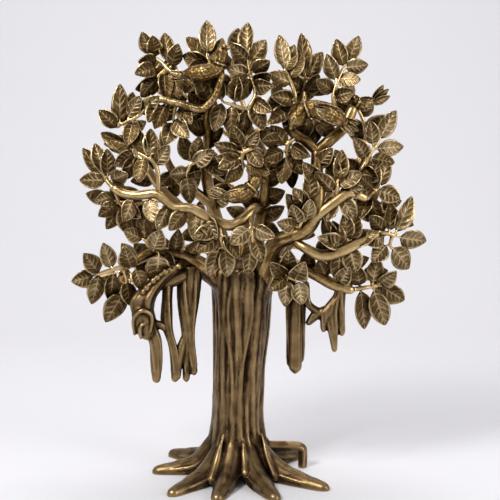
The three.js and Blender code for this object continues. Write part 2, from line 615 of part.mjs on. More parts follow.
// ---------------------------------------------------------------- birds
// body: along the back from tail root to beak; wing and tail are leaf-shaped plates: from, to, width.
const birds = {
  bird_crown_left: {
    body: [[-47, -35, 302], [-38, -37, 303], [-30, -38, 303.5], [-23, -38, 306], [-20, -38, 313],
      [-18.5, -38, 320], [-13, -38, 321]],
    radii: [3, 5.6, 6.4, 5.6, 3.8, 4.2, 0.9],
    tail: [[-43, -35, 302], [-59, -33, 301], 10], wing: [[-25, -43, 306], [-42, -41, 302], 8],
  },
  bird_right: {
    body: [[68, -40, 268], [60, -43, 272], [52, -44, 276], [44, -44, 278], [37, -44, 276], [32, -45, 270],
      [28, -45, 263]],
    radii: [3, 6, 7.4, 6.6, 5.6, 6, 1.2],
    tail: [[63, -41, 270], [78, -37, 262], 11], wing: [[45, -51, 280], [66, -47, 270], 11],
  },
  bird_far_right: {
    body: [[90, -20, 284], [85, -22, 282], [81, -23, 281], [77, -24, 282], [74.5, -24, 285],
      [71, -24, 285]],
    radii: [2, 4.8, 5.6, 4.4, 3.8, 0.8],
    tail: [[88, -21, 282], [101, -17, 292], 12], wing: [[78, -28, 284], [91, -25, 281], 8],
  },
  bird_centre: {
    body: [[-18, -47, 216], [-12, -49, 217], [-5, -50, 219], [1, -49, 223], [5, -48, 228], [11, -47, 227]],
    radii: [2.4, 5.8, 6.8, 5, 4.4, 0.8],
    tail: [[-14, -48, 217], [-31, -45, 220], 11], wing: [[-2, -56, 222], [-20, -52, 215], 9],
  },
};

const PLATE_ROLL = 0.2; // radians
function makeBird(bird, grow) {
  const plate = ([from, to, width]) => {
    const seat = place(...from);
    return leaf(seat, seat, place(...to), width, -1, PLATE_ROLL, grow);
  };
  const trunk = limb(bird.body.map((point) => place(...point)), bird.radii, { sides: 7, steps: 9, grow });
  return joined([trunk, plate(bird.tail), plate(bird.wing)]);
}

// ---------------------------------------------------------------- trunk and roots
// The shaft: height, radius beyond TRUNK_RADIUS, and the drift of its middle in x.
const WAIST_HEIGHT = 45; // the foot below it keeps its height when the trunk is made taller
const RIDGE_TWIST = 0.12; // radians that a ridge wanders to each side
const aboveWaist = (share) => WAIST_HEIGHT + share * (TRUNK_HEIGHT - WAIST_HEIGHT);
const shaftRings = [
  [0, 8.5, -9.5], [16, 4.2, -9.5], [WAIST_HEIGHT, 0.4, -9.5], [aboveWaist(0.34), 0.6, -8.5],
  [aboveWaist(0.6), 2.2, -6.4], [aboveWaist(0.84), 3.2, -6], [TRUNK_HEIGHT - 5, 5, -5.2],
  [TRUNK_HEIGHT, 2.5, -5.4],
];

function trunkShaft() {
  const rings = shaftRings.map(([height, extra, middle]) => {
    const ring = [];
    for (let corner = 0; corner < TRUNK_RIDGES * 2; corner++) {
      const angle = (corner / (TRUNK_RIDGES * 2)) * 2 * Math.PI + RIDGE_TWIST * Math.sin(height / 45);
      const radius = TRUNK_RADIUS + extra - (corner % 2) * RIDGE_DEPTH;
      ring.push(new THREE.Vector3(middle + Math.cos(angle) * radius, Math.sin(angle) * radius, height));
    }
    return ring;
  });
  return loft(rings);
}

// Root tips on the ground; every root leaves the shaft at its own heading.
const TRUNK_X = -9.5;
const ROOT_START = 8; // how far inside the shaft's surface a root starts
const rootTips = [[-74, -4], [-58, -58], [-24, -69], [19, -68], [57, -45], [44, 40], [14, 66], [-30, 69],
  [-64, 42]];

function root([tipX, tipY]) {
  const reach = Math.hypot(tipX - TRUNK_X, tipY);
  const out = new THREE.Vector3((tipX - TRUNK_X) / reach, tipY / reach, 0);
  const along = (distance, height) => new THREE.Vector3(TRUNK_X, 0, height).addScaledVector(out, distance);
  const start = TRUNK_RADIUS - ROOT_START;
  const path = [along(start, 34), along(start + 8, 20), along(reach * 0.48, 7), along(reach * 0.75, 2.5),
    along(reach - 3, 1.2)];
  const wide = ROOT_WIDTH / 2;
  return limb(path, [wide * 0.7, wide * 0.95, wide, wide * 0.8, 2.6]);
}

// One root springs sideways from the back and drops to the ground on a leg.
function steppedRoot() {
  const path = [[4, 6, 18], [20, 9, 16], [34, 10, 15], [40, 10, 10], [41, 10, -2]];
  return limb(path.map(([x, y, z]) => new THREE.Vector3(x, y, z)), [5, 4.4, 4, 3.6, 3.4]);
}

// The trunk is hollow from the ground, with an arch into the hollow between two front roots.
const ARCH_RADIUS = 6.5;
const ARCH_LENGTH = 44;
const ARCH_X = -4;
function makeTrunk() {
  const wood = joined([trunkShaft(), ...rootTips.map(root), steppedRoot()]);
  const underground = new THREE.BoxGeometry(400, 400, 60).translate(0, 0, -30);
  const hollowProfile = [
    [0, -6], [TRUNK_HOLLOW, -6], [TRUNK_HOLLOW, 20], [TRUNK_RADIUS - 7, 60], [TRUNK_RADIUS - 9, 100],
    [0, 108],
  ].map(([radius, height]) => new THREE.Vector2(radius, height));
  const hollow = new THREE.LatheGeometry(hollowProfile, 12).rotateX(Math.PI / 2).translate(TRUNK_X, 0, 0);
  const arch = new THREE.CylinderGeometry(ARCH_RADIUS, ARCH_RADIUS, ARCH_LENGTH, 10)
    .translate(ARCH_X, -10 - ARCH_LENGTH / 2, 1.5);
  return wood.subtract(solidOf(underground)).subtract(solidOf(hollow)).subtract(solidOf(arch));
}

// ---------------------------------------------------------------- fitting the castings together
// Castings are listed from the last fitted to the first: each one is let into those after it,
// which are cut back by the clearance where it is pegged or lies against them.
const castings = [
  ...Object.entries(birds).map(([name, bird]) => [name, (grow) => makeBird(bird, grow), birdBrass]),
  ...Object.entries({ ...frontSprays, ...backSprays }).map(([name, spray]) => [
    name, (grow) => makeSpray(spray, grow), leafBrass,
  ]),
  ...Object.entries(hangingRoots).map(([name, strands]) => [
    name, (grow) => makeHangingRoot(strands, grow), rootBrass,
  ]),
  ...Object.entries(boughs)
    .reverse()
    .map(([name, bough]) => [name, (grow) => makeBough(bough, grow), boughBrass]),
  ["trunk_and_roots", makeTrunk, trunkBrass],
];

// Cutting can leave a loose crumb of a leaf's edge; a casting keeps only its bodies above this volume.
const CRUMB_VOLUME = 5; // mm3
function withoutCrumbs(solid) {
  return joined(solid.decompose().filter((body) => body.volume() > CRUMB_VOLUME));
}

function boxesMeet(a, b) {
  return [0, 1, 2].every((axis) => a.min[axis] < b.max[axis] && b.min[axis] < a.max[axis]);
}

const tree = new THREE.Group();
const fitted = [];
for (const [name, make, material] of castings) {
  let solid = make(0);
  for (const other of fitted) {
    if (boxesMeet(solid.boundingBox(), other.boundingBox())) solid = solid.subtract(other);
  }
  if (name !== "trunk_and_roots") fitted.push(make(CLEARANCE).add(make(0)));
  const mesh = new THREE.Mesh(geometryOf(withoutCrumbs(solid)), material);
  mesh.name = name;
  tree.add(mesh);
}

export default tree;
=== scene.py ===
# %% [markdown]
# # A cast brass tree of life
# The real object is a table ornament poured in brass: a fluted, hollow trunk on spreading roots,
# boughs pegged into its top, sprays of veined leaves, four small birds and hanging air roots.
# Dark patina lies in every recess and the high places are rubbed golden; in this model the dark
# recesses are partly painted shade and the light high places partly painted highlight. The sizes
# and places here are millimetres in the model's own frame, and one scale turns them to Blender's
# metres.

# %% Load the imported model as the frame
import json
import math
import random

import bmesh
import bpy
from mathutils import Matrix, Vector
from mathutils.bvhtree import BVHTree

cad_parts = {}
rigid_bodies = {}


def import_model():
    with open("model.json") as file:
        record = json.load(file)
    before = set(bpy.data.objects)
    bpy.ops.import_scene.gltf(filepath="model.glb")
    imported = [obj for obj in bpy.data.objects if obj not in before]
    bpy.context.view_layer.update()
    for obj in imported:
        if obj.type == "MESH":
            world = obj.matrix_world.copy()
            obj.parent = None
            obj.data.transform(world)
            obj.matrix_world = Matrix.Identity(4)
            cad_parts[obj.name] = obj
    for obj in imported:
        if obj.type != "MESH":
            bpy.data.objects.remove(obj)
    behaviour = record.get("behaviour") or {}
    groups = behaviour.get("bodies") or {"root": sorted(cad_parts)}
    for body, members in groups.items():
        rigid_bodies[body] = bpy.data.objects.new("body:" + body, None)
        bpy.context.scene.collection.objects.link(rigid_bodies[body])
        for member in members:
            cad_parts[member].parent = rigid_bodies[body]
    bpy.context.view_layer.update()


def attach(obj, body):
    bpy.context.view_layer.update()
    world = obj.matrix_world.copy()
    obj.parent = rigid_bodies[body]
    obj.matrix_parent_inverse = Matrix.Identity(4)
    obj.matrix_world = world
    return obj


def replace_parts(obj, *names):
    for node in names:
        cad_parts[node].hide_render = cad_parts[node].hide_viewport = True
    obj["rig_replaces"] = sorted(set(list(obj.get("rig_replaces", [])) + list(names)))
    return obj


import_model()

# %% [markdown]
# ## Floor, light and camera
# A small bright metal needs large, soft lamps, because it shows its surroundings more than its own
# colour. A pale floor that curves up behind the tree gives it something plain to reflect. The camera
# stands well back with a long lens and looks a little down, so that the crown isn't stretched.

# %% A long lens, well back
MM = 0.001  # a millimetre in Blender's metres
CAMERA_DISTANCE = 900
CAMERA_PITCH = math.radians(7.5)
AIM_HEIGHT = 172
LENS = 86.2
aim = Vector((0, 0, AIM_HEIGHT)) * MM
offset = Vector((0, -math.cos(CAMERA_PITCH), math.sin(CAMERA_PITCH))) * CAMERA_DISTANCE * MM
camera = bpy.data.objects.new("camera", bpy.data.cameras.new("camera"))
camera.data.lens = LENS
camera.location = aim + offset
camera.rotation_euler = (aim - camera.location).to_track_quat("-Z", "Y").to_euler()
bpy.context.scene.collection.objects.link(camera)
bpy.context.scene.camera = camera
print("camera at", [round(v, 3) for v in camera.location])

# %% Colours are sRGB hex values, and one function turns them to linear
def colour(hex_value):
    channels = [int(hex_value[i:i + 2], 16) / 255 for i in (1, 3, 5)]
    linear = [c / 12.92 if c <= 0.04045 else ((c + 0.055) / 1.055) ** 2.4 for c in channels]
    return (*linear, 1)


# %% One function adds a shader node with its settings and links
def add_node(tree, kind, settings=(), inputs=(), **links):
    """settings: attributes of the node; inputs: socket name to value or to another node's output."""
    node = tree.nodes.new(kind)
    for name, value in dict(settings).items():
        setattr(node, name, value)
    for name, value in {**dict(inputs), **links}.items():
        socket = node.inputs[name]
        if isinstance(value, bpy.types.NodeSocket):
            tree.links.new(value, socket)
        else:
            socket.default_value = value
    return node


def new_material(name):
    material = bpy.data.materials.new(name)
    material.use_nodes = True
    tree = material.node_tree
    tree.nodes.clear()
    return material, tree


# %% Matt white paper, curved up behind the tree
def make_backdrop():
    width, front, back, height, radius = 4.0, -1.6, 1.1, 2.4, 0.6
    bm = bmesh.new()
    line = [bm.verts.new((-width / 2, front, 0)), bm.verts.new((-width / 2, back - radius, 0))]
    bm.edges.new(line)
    arc = bmesh.ops.spin(bm, geom=[line[1]], axis=(1, 0, 0), cent=(0, back - radius, radius),
                         angle=math.pi / 2, steps=24)
    top = next(g for g in arc["geom_last"] if isinstance(g, bmesh.types.BMVert))
    wall = bm.verts.new((-width / 2, back, height))
    bm.edges.new((top, wall))
    sheet = bmesh.ops.extrude_edge_only(bm, edges=bm.edges[:])
    moved = [g for g in sheet["geom"] if isinstance(g, bmesh.types.BMVert)]
    bmesh.ops.translate(bm, verts=moved, vec=(width, 0, 0))
    bmesh.ops.recalc_face_normals(bm, faces=bm.faces[:])
    for face in bm.faces:
        face.smooth = True
    mesh = bpy.data.meshes.new("backdrop")
    bm.to_mesh(mesh)
    bm.free()
    backdrop = bpy.data.objects.new("backdrop", mesh)
    bpy.context.scene.collection.objects.link(backdrop)
    material, tree = new_material("matt white paper")
    paper = add_node(tree, "ShaderNodeBsdfPrincipled",
                     inputs={"Base Color": colour("#D7D6D9"), "Roughness": 0.85, "IOR": 1.5})
    add_node(tree, "ShaderNodeOutputMaterial", Surface=paper.outputs["BSDF"])
    mesh.materials.append(material)
    print("backdrop:", len(mesh.polygons), "faces")


make_backdrop()

# %% Soft lamps: a key from the upper left, a fill from the right and a strip behind
LIT_PLACE = (0, 0, 0.17)  # the middle of the crown


def add_lamp(name, place, size, power):
    lamp = bpy.data.objects.new(name, bpy.data.lights.new(name, "AREA"))
    lamp.data.shape = "RECTANGLE"
    lamp.data.size, lamp.data.size_y = size
    lamp.data.energy = power
    lamp.location = place
    lamp.rotation_euler = (Vector(LIT_PLACE) - Vector(place)).to_track_quat("-Z", "Y").to_euler()
    bpy.context.scene.collection.objects.link(lamp)


add_lamp("key", (-0.7, -0.8, 1.15), (0.45, 0.45), 15)
add_lamp("fill", (1.1, -0.7, 0.6), (0.4, 0.8), 6.0)
add_lamp("top", (0.1, 0.35, 1.4), (1.0, 0.5), 8)
world = bpy.data.worlds.new("studio")
world.use_nodes = True
world.node_tree.nodes["Background"].inputs["Color"].default_value = colour("#E7E6E8")
world.node_tree.nodes["Background"].inputs["Strength"].default_value = 0.62
bpy.context.scene.world = world
bpy.context.scene.view_settings.view_transform = "Standard"

# %% [markdown]
# ## Placing the layout
# The tree is drawn flat, the way its maker draws it: every stem and leaf has its place across and up
# the face. The depth comes from one dome, which stands out most in the middle of the crown. A leaf
# that looks short leans out of the dome by what is missing from its true length.

# %% The leaf dome and the lean of a leaf
DOME_RIM = 11
DOME_MIDDLE = 42
LEAF_LENGTH = 20.5
LEAF_WIDTH = 11.5
DOME_HALF_WIDTH, DOME_HALF_HEIGHT = 140, 136
DOME_CENTRE_Z = 226
MOST_LEAN = 9
LEAN_SHARE = 0.6


def dome_depth(x, z):
    from_centre = (x / DOME_HALF_WIDTH) ** 2 + ((z - DOME_CENTRE_Z) / DOME_HALF_HEIGHT) ** 2
    return DOME_RIM + (DOME_MIDDLE - DOME_RIM) * max(0, 1 - from_centre)


def lean(run):
    return min(MOST_LEAN, math.sqrt(max(0, LEAF_LENGTH ** 2 - run ** 2)) * LEAN_SHARE)


print("depth of the dome at its middle:", dome_depth(0, DOME_CENTRE_Z), "mm")


# %% A smooth line through chosen points
FINE_STEPS = 16


def smooth_line(points):
    """Centripetal Catmull-Rom: it doesn't loop or overshoot where points lie close together."""
    points = [Vector(p) for p in points]
    ends = [2 * points[0] - points[1], *points, 2 * points[-1] - points[-2]]
    line = [points[0]]
    for p0, p1, p2, p3 in zip(ends, ends[1:], ends[2:], ends[3:]):
        gaps = (p1 - p0, p2 - p1, p3 - p2)
        before, span, after = (max(gap.length ** 0.5, 1e-4) for gap in gaps)
        slope1 = ((p1 - p0) / before - (p2 - p0) / (before + span)) * span + (p2 - p1)
        slope2 = (p2 - p1) - ((p3 - p1) / (span + after) - (p3 - p2) / after) * span
        for step in range(1, FINE_STEPS + 1):
            t = step / FINE_STEPS
            line.append((2 * t ** 3 - 3 * t ** 2 + 1) * p1 + (t ** 3 - 2 * t ** 2 + t) * slope1
                        + (3 * t ** 2 - 2 * t ** 3) * p2 + (t ** 3 - t ** 2) * slope2)
    return line


print("points on a bent line:", len(smooth_line([(0, 0, 0), (5, 0, 5), (5, 0, 15)])))


# %% Reading a line at even steps, and a list of radii along it
def even_steps(line, count):
    """count + 1 points at even distances along a line of points."""
    lengths = [0]
    for a, b in zip(line, line[1:]):
        lengths.append(lengths[-1] + (b - a).length)
    found, piece = [], 0
    for step in range(count + 1):
        wanted = lengths[-1] * step / count
        while piece < len(line) - 2 and lengths[piece + 1] < wanted:
            piece += 1
        gap = lengths[piece + 1] - lengths[piece]
        found.append(line[piece].lerp(line[piece + 1], (wanted - lengths[piece]) / max(gap, 1e-9)))
    return found


def reading(values, share):
    """A list of values read at a share of its length, eased so that a limb has no corners."""
    along = share * (len(values) - 1)
    first = min(int(along), len(values) - 2)
    t = along - first
    t = t * t * (3 - 2 * t)
    return values[first] * (1 - t) + values[first + 1] * t


print("radius halfway along a limb that tapers from 4 to 2 mm:", reading([4, 2], 0.5))


# %% The place in a stem that a leaf springs from
def nearest_inside(spine, x, z):
    """The place nearest to a drawn point, a little way in from the ends of each step."""
    best = None
    for a, b in zip(spine, spine[1:]):
        run = b - a
        share = ((x - a.x) * run.x + (z - a.z) * run.z) / max(run.x ** 2 + run.z ** 2, 1e-9)
        foot = a + run * min(max(share, 0.1), 0.9)
        distance = math.hypot(foot.x - x, foot.z - z)
        if best is None or distance < best[1]:
            best = (foot, distance)
    return best

# %% [markdown]
# ## Sweeping a limb
# A branch is round, bends and tapers. A curve with a bevel would make one, but its radius can't be
# steered as finely, so a circle is set at the butt and its end face is extruded step by step: each
# step moves, turns and scales that face to the next station. A limb ends round, unless it is blunt.

# %% Put one bmesh into another
def add_to(bm, part):
    """Moves everything in one bmesh into another."""
    mesh = bpy.data.meshes.new("part")
    part.to_mesh(mesh)
    part.free()
    bm.from_mesh(mesh)
    bpy.data.meshes.remove(mesh)


# %% Sweep a circle along a line
LAST_RING = 0.9  # a round end closes to a share sqrt(1 - LAST_RING) of its radius


def sweep(bm, points, radii, sides=10, step=1.6, blunt=False):
    """points: a smooth line in mm; radii: given at even steps along it; the end is round or blunt."""
    line = smooth_line(points)
    length = sum((b - a).length for a, b in zip(line, line[1:]))
    count = max(3, round(length / step))
    spine = even_steps(line, count)
    tangents = [(spine[min(i + 1, count)] - spine[max(i - 1, 0)]).normalized()
                for i in range(count + 1)]
    radius = reading(radii, 0)
    turn = Vector((0, 0, 1)).rotation_difference(tangents[0]).to_matrix().to_4x4()
    start = Matrix.Translation(spine[0]) @ turn @ Matrix.Diagonal((radius, radius, 1, 1))
    limb = bmesh.new()
    ring = bmesh.ops.create_circle(limb, cap_ends=True, segments=sides, radius=1, matrix=start)["verts"]
    face = ring[0].link_faces[0]
    for i in range(1, count + 1):
        new_radius = reading(radii, i / count)
        if not blunt:
            over = max(0, 1 - length * (1 - i / count) / radii[-1])
            new_radius *= math.sqrt(1 - LAST_RING * over ** 2)
        made = bmesh.ops.extrude_face_region(limb, geom=[face])["geom"]
        face = next(g for g in made if isinstance(g, bmesh.types.BMFace))
        bend = tangents[i - 1].rotation_difference(tangents[i]).to_matrix().to_4x4()
        grow = Matrix.Scale(new_radius / radius, 4)
        move = Matrix.Translation(spine[i]) @ bend @ grow @ Matrix.Translation(-spine[i - 1])
        bmesh.ops.transform(limb, matrix=move, verts=face.verts[:])
        radius = new_radius
    add_to(bm, limb)
    return spine


# %% An object from a bmesh, and a bmesh from an object's modifiers
def mesh_object(name, bm, materials=()):
    mesh = bpy.data.meshes.new(name)
    bm.to_mesh(mesh)
    bm.free()
    for material in materials:
        mesh.materials.append(material)
    piece = bpy.data.objects.new(name, mesh)
    bpy.context.scene.collection.objects.link(piece)
    return piece


def with_modifiers_applied(piece):
    """The mesh that a piece's modifiers give, in a new bmesh; the piece is removed."""
    graph = bpy.context.evaluated_depsgraph_get()
    bm = bmesh.new()
    bm.from_object(piece, graph)
    mesh = piece.data
    bpy.data.objects.remove(piece)
    bpy.data.meshes.remove(mesh)
    return bm


# %% Fuse swept limbs into one casting, and cut shapes out of it
def cut_out(bm, *tools):
    """Takes the shape of each tool, a bmesh, out of a casting."""
    piece = mesh_object("whole", bm)
    made = [mesh_object("tool", tool) for tool in tools]
    for tool in made:
        cut = piece.modifiers.new("cut", "BOOLEAN")
        cut.operation = "DIFFERENCE"
        cut.solver = "EXACT"
        cut.object = tool
    bm = with_modifiers_applied(piece)
    for tool in made:
        bpy.data.objects.remove(tool)
    return bm


def fused(bm, voxel, rounds=3):
    """Melts overlapping limbs into one skin, and softens the steps that the voxels leave."""
    bmesh.ops.recalc_face_normals(bm, faces=bm.faces[:])
    piece = mesh_object("fusing", bm)
    remesh = piece.modifiers.new("fuse", "REMESH")
    remesh.mode = "VOXEL"
    remesh.voxel_size = voxel
    bm = with_modifiers_applied(piece)
    for _ in range(rounds):
        bmesh.ops.smooth_vert(bm, verts=bm.verts[:], factor=0.5, use_axis_x=True, use_axis_y=True,
                              use_axis_z=True)
    return bm


# %% [markdown]
# ## Finishes
# Every piece is the same metal: brass, poured in sand, darkened in a bath and rubbed back by hand.
# What the eye reads is where the rubbing reached, and also painted light and shade. So each vertex
# stores one value, from 0 in a deep recess to 1 on a proud edge, and the material turns from dark
# patina to bare brass along it: the dark recesses are partly patina and partly painted shade, the
# light edges partly wear and partly painted highlight. Sand leaves a grain of about half a
# millimetre, which a noise texture raises and stains a little.

# %% The veins of a leaf follow its own map: u across it, v along it
VEIN_PAIRS = 6
VEIN_DRIFT = 4 * MM  # a vein cut by hand wanders
VEIN_WANDER = 5.0
MIDRIB_EDGE = (0.12, 0.03)  # where the midrib ends and is whole, from the middle of the leaf to its rim
RIM_EDGE = (0.74, 0.9)
SMOOTH = {"interpolation_type": "SMOOTHSTEP"}


def vein_pattern(tree):
    """1 on the midrib, the side veins and the rim, 0 in the furrows between them."""
    uv = add_node(tree, "ShaderNodeUVMap", {"uv_map": "leaf"}).outputs["UV"]
    parts = add_node(tree, "ShaderNodeSeparateXYZ", Vector=uv)
    across = add_node(tree, "ShaderNodeMath", {"operation": "MULTIPLY_ADD"},
                      {0: parts.outputs["X"], 1: 2.0, 2: -1.0})
    side = add_node(tree, "ShaderNodeMath", {"operation": "ABSOLUTE"}, {0: across.outputs[0]})
    turns = add_node(tree, "ShaderNodeMath", {"operation": "MULTIPLY"},
                     {0: parts.outputs["Y"], 1: VEIN_PAIRS * 2 * math.pi})
    place = add_node(tree, "ShaderNodeTexCoord").outputs["Object"]
    drift = add_node(tree, "ShaderNodeTexNoise", inputs={"Scale": 1 / VEIN_DRIFT, "Detail": 2.0},
                     Vector=place)
    drifted = add_node(tree, "ShaderNodeMath", {"operation": "MULTIPLY_ADD"},
                       {0: drift.outputs["Fac"], 1: VEIN_WANDER, 2: turns.outputs[0]})
    wave = add_node(tree, "ShaderNodeMath", {"operation": "COSINE"}, {0: drifted.outputs[0]})
    ridge = add_node(tree, "ShaderNodeMapRange", SMOOTH, {"From Min": 0.0, "From Max": 1.0},
                     Value=wave.outputs[0])
    midrib = add_node(tree, "ShaderNodeMapRange", SMOOTH,
                      {"From Min": MIDRIB_EDGE[0], "From Max": MIDRIB_EDGE[1]}, Value=side.outputs[0])
    rim = add_node(tree, "ShaderNodeMapRange", SMOOTH,
                   {"From Min": RIM_EDGE[0], "From Max": RIM_EDGE[1]}, Value=side.outputs[0])
    most = add_node(tree, "ShaderNodeMath", {"operation": "MAXIMUM"},
                    {0: ridge.outputs["Result"], 1: midrib.outputs["Result"]})
    return add_node(tree, "ShaderNodeMath", {"operation": "MAXIMUM"},
                    {0: most.outputs[0], 1: rim.outputs["Result"]}).outputs[0]


# %% Antiqued brass
GRAIN = 0.5 * MM  # moulding sand is finer, but finer wouldn't show
STAIN = 9 * MM  # the clouds that a patina bath leaves
STAIN_SHARE = 0.5
FEATHER = 1.9 * MM  # one feather on a bird's breast
# Veins lighter and the furrows between them darker: partly rubbing, partly painted highlight and painted
# shade.
VEIN_LIGHT_SHARE, VEIN_SHIFT = 0.2, 0.08  # veins are rubbed more, and the furrows between them less
FEATHER_SHADE = 0.45
CARVED_HEIGHT = 5.0  # veins and feathers stand this many times as high as the grain
PATINA_END, MIDDLE_PLACE, BARE_START = 0.12, 0.5, 0.92
DULLER, GLOSSIER = 0.2, 0.06  # roughness added to patina, and taken from rubbed metal
BUMP_STRENGTH, BUMP_HEIGHT = 0.5, 0.16 * MM


def antiqued_brass(name, patina, middle, bare, roughness, veins=False, feathers=False):
    material, tree = new_material(name)
    # This value is partly rubbing and patina, partly painted highlight and painted shade.
    rubbed_and_shaded = add_node(tree, "ShaderNodeAttribute", {"attribute_name": "rubbed_and_shaded"}).outputs["Fac"]
    place = add_node(tree, "ShaderNodeTexCoord").outputs["Object"]
    stain = add_node(tree, "ShaderNodeTexNoise", inputs={"Scale": 1 / STAIN, "Detail": 4.0},
                     Vector=place)
    grain = add_node(tree, "ShaderNodeTexNoise", inputs={"Scale": 1 / GRAIN, "Detail": 2.0},
                     Vector=place)
    height = grain.outputs["Fac"]
    if veins:
        # The vein pattern lightens the ribs and rim, partly rubbing and partly painted highlight, and
        # raises them in the bump.
        vein = vein_pattern(tree)
        carving_light_and_shade = add_node(tree, "ShaderNodeMath", {"operation": "MULTIPLY_ADD"},
                          {0: vein, 1: VEIN_LIGHT_SHARE, 2: rubbed_and_shaded})
        rubbed_and_shaded = add_node(tree, "ShaderNodeMath", {"operation": "SUBTRACT"},
                          {0: carving_light_and_shade.outputs[0], 1: VEIN_SHIFT}).outputs[0]
        height = add_node(tree, "ShaderNodeMath", {"operation": "MULTIPLY_ADD"},
                          {0: vein, 1: CARVED_HEIGHT, 2: height}).outputs[0]
    if feathers:
        cells = add_node(tree, "ShaderNodeTexVoronoi", inputs={"Scale": 1 / FEATHER}, Vector=place)
        edge = cells.outputs["Distance"]
        rubbed_and_shaded = add_node(tree, "ShaderNodeMath", {"operation": "MULTIPLY_ADD"},
                          {0: edge, 1: -FEATHER_SHADE, 2: rubbed_and_shaded}).outputs[0]
        height = add_node(tree, "ShaderNodeMath", {"operation": "MULTIPLY_ADD"},
                          {0: edge, 1: -CARVED_HEIGHT, 2: height}).outputs[0]
    spread = add_node(tree, "ShaderNodeMath", {"operation": "MULTIPLY_ADD"},
                      {0: stain.outputs["Fac"], 1: STAIN_SHARE, 2: rubbed_and_shaded})
    amount = add_node(tree, "ShaderNodeMath", {"operation": "SUBTRACT"},
                      {0: spread.outputs[0], 1: STAIN_SHARE / 2})
    # Low values give the patina colour, which here also stands for painted shade; high values give bare
    # brass.
    ramp = add_node(tree, "ShaderNodeValToRGB", Fac=amount.outputs[0])
    ramp.color_ramp.elements[0].color = colour(patina)
    ramp.color_ramp.elements[0].position = PATINA_END
    ramp.color_ramp.elements[1].color = colour(bare)
    ramp.color_ramp.elements[1].position = BARE_START
    ramp.color_ramp.elements.new(MIDDLE_PLACE).color = colour(middle)
    gloss = add_node(tree, "ShaderNodeMapRange", inputs={"To Min": roughness + DULLER,
                     "To Max": roughness - GLOSSIER}, Value=amount.outputs[0])
    bump = add_node(tree, "ShaderNodeBump",
                    inputs={"Strength": BUMP_STRENGTH, "Distance": BUMP_HEIGHT}, Height=height)
    metal = add_node(tree, "ShaderNodeBsdfPrincipled", inputs={"Metallic": 1.0},
                     Roughness=gloss.outputs["Result"], Normal=bump.outputs["Normal"])
    tree.links.new(ramp.outputs["Color"], metal.inputs["Base Color"])
    add_node(tree, "ShaderNodeOutputMaterial", Surface=metal.outputs["BSDF"])
    return material


# %% The four finishes: patina, half-rubbed and bare colour, and roughness
# Leaves: dull between the veins, because the cloth only reaches the rims and the ribs; the light rims
# and ribs are also painted highlight, and the dull furrows also painted shade.
leaf_brass = antiqued_brass("antiqued brass, veined", "#20150A", "#5F4A2B", "#CBB48B", 0.36,
                            veins=True)
# Boughs: smooth and much handled, so they are the glossiest and the most golden.
bough_brass = antiqued_brass("antiqued brass, rubbed", "#22170C", "#6E532B", "#DCBE88", 0.3)
# Bark: browner, because the bath stays longest in its furrows.
bark_brass = antiqued_brass("antiqued brass, darker", "#1B120A", "#443322", "#9C825A", 0.34)
# Birds: as golden as the boughs, with a dark line round each feather.
bird_brass = antiqued_brass("antiqued brass, feathered", "#22170C", "#74592F", "#DCC494", 0.34,
                            feathers=True)
print("finishes:", [m.name for m in bpy.data.materials])

# %% [markdown]
# ## Leaves
# Each leaf is a small carved blade: a midrib, six pairs of side veins that rise and sink, a raised
# rim and a flat underside. There are hundreds of them, so one blade of a few dozen faces is made
# from a grid, and every leaf is that blade bent, narrowed and turned on to its stem.

# %% One blade, in its own measure: x across from -1 to 1, y along from 0 to 1, z up
BLADE_ROWS = VEIN_PAIRS * 2
BLADE_COLUMNS = 4
CHEVRON = 0.45  # how far a side vein runs forward on its way to the rim
RIM = 1.45  # moves the middle of each half out towards the rim, which makes the rim narrow
MIDRIB_RISE, RIM_RISE, VEIN_RISE = 0.45, 0.35, 0.26
UNDERSIDE, UNDERCUT = -0.75, 0.86
# Relief above a half is lighter, partly rubbed and partly painted highlight; below it, in the furrows
# and under the leaf, darker, partly patina and partly painted shade.
MIDRIB_RELIEF, RIM_RELIEF, UNDER_RELIEF = 0.7, 1.0, 0.25  # above a half, the cloth reaches it
FURROW_RELIEF, VEIN_RELIEF = 0.42, 0.16


def half_width(along):
    return math.sin(math.pi * min(max(along, 0), 1) ** 0.85) ** 0.72


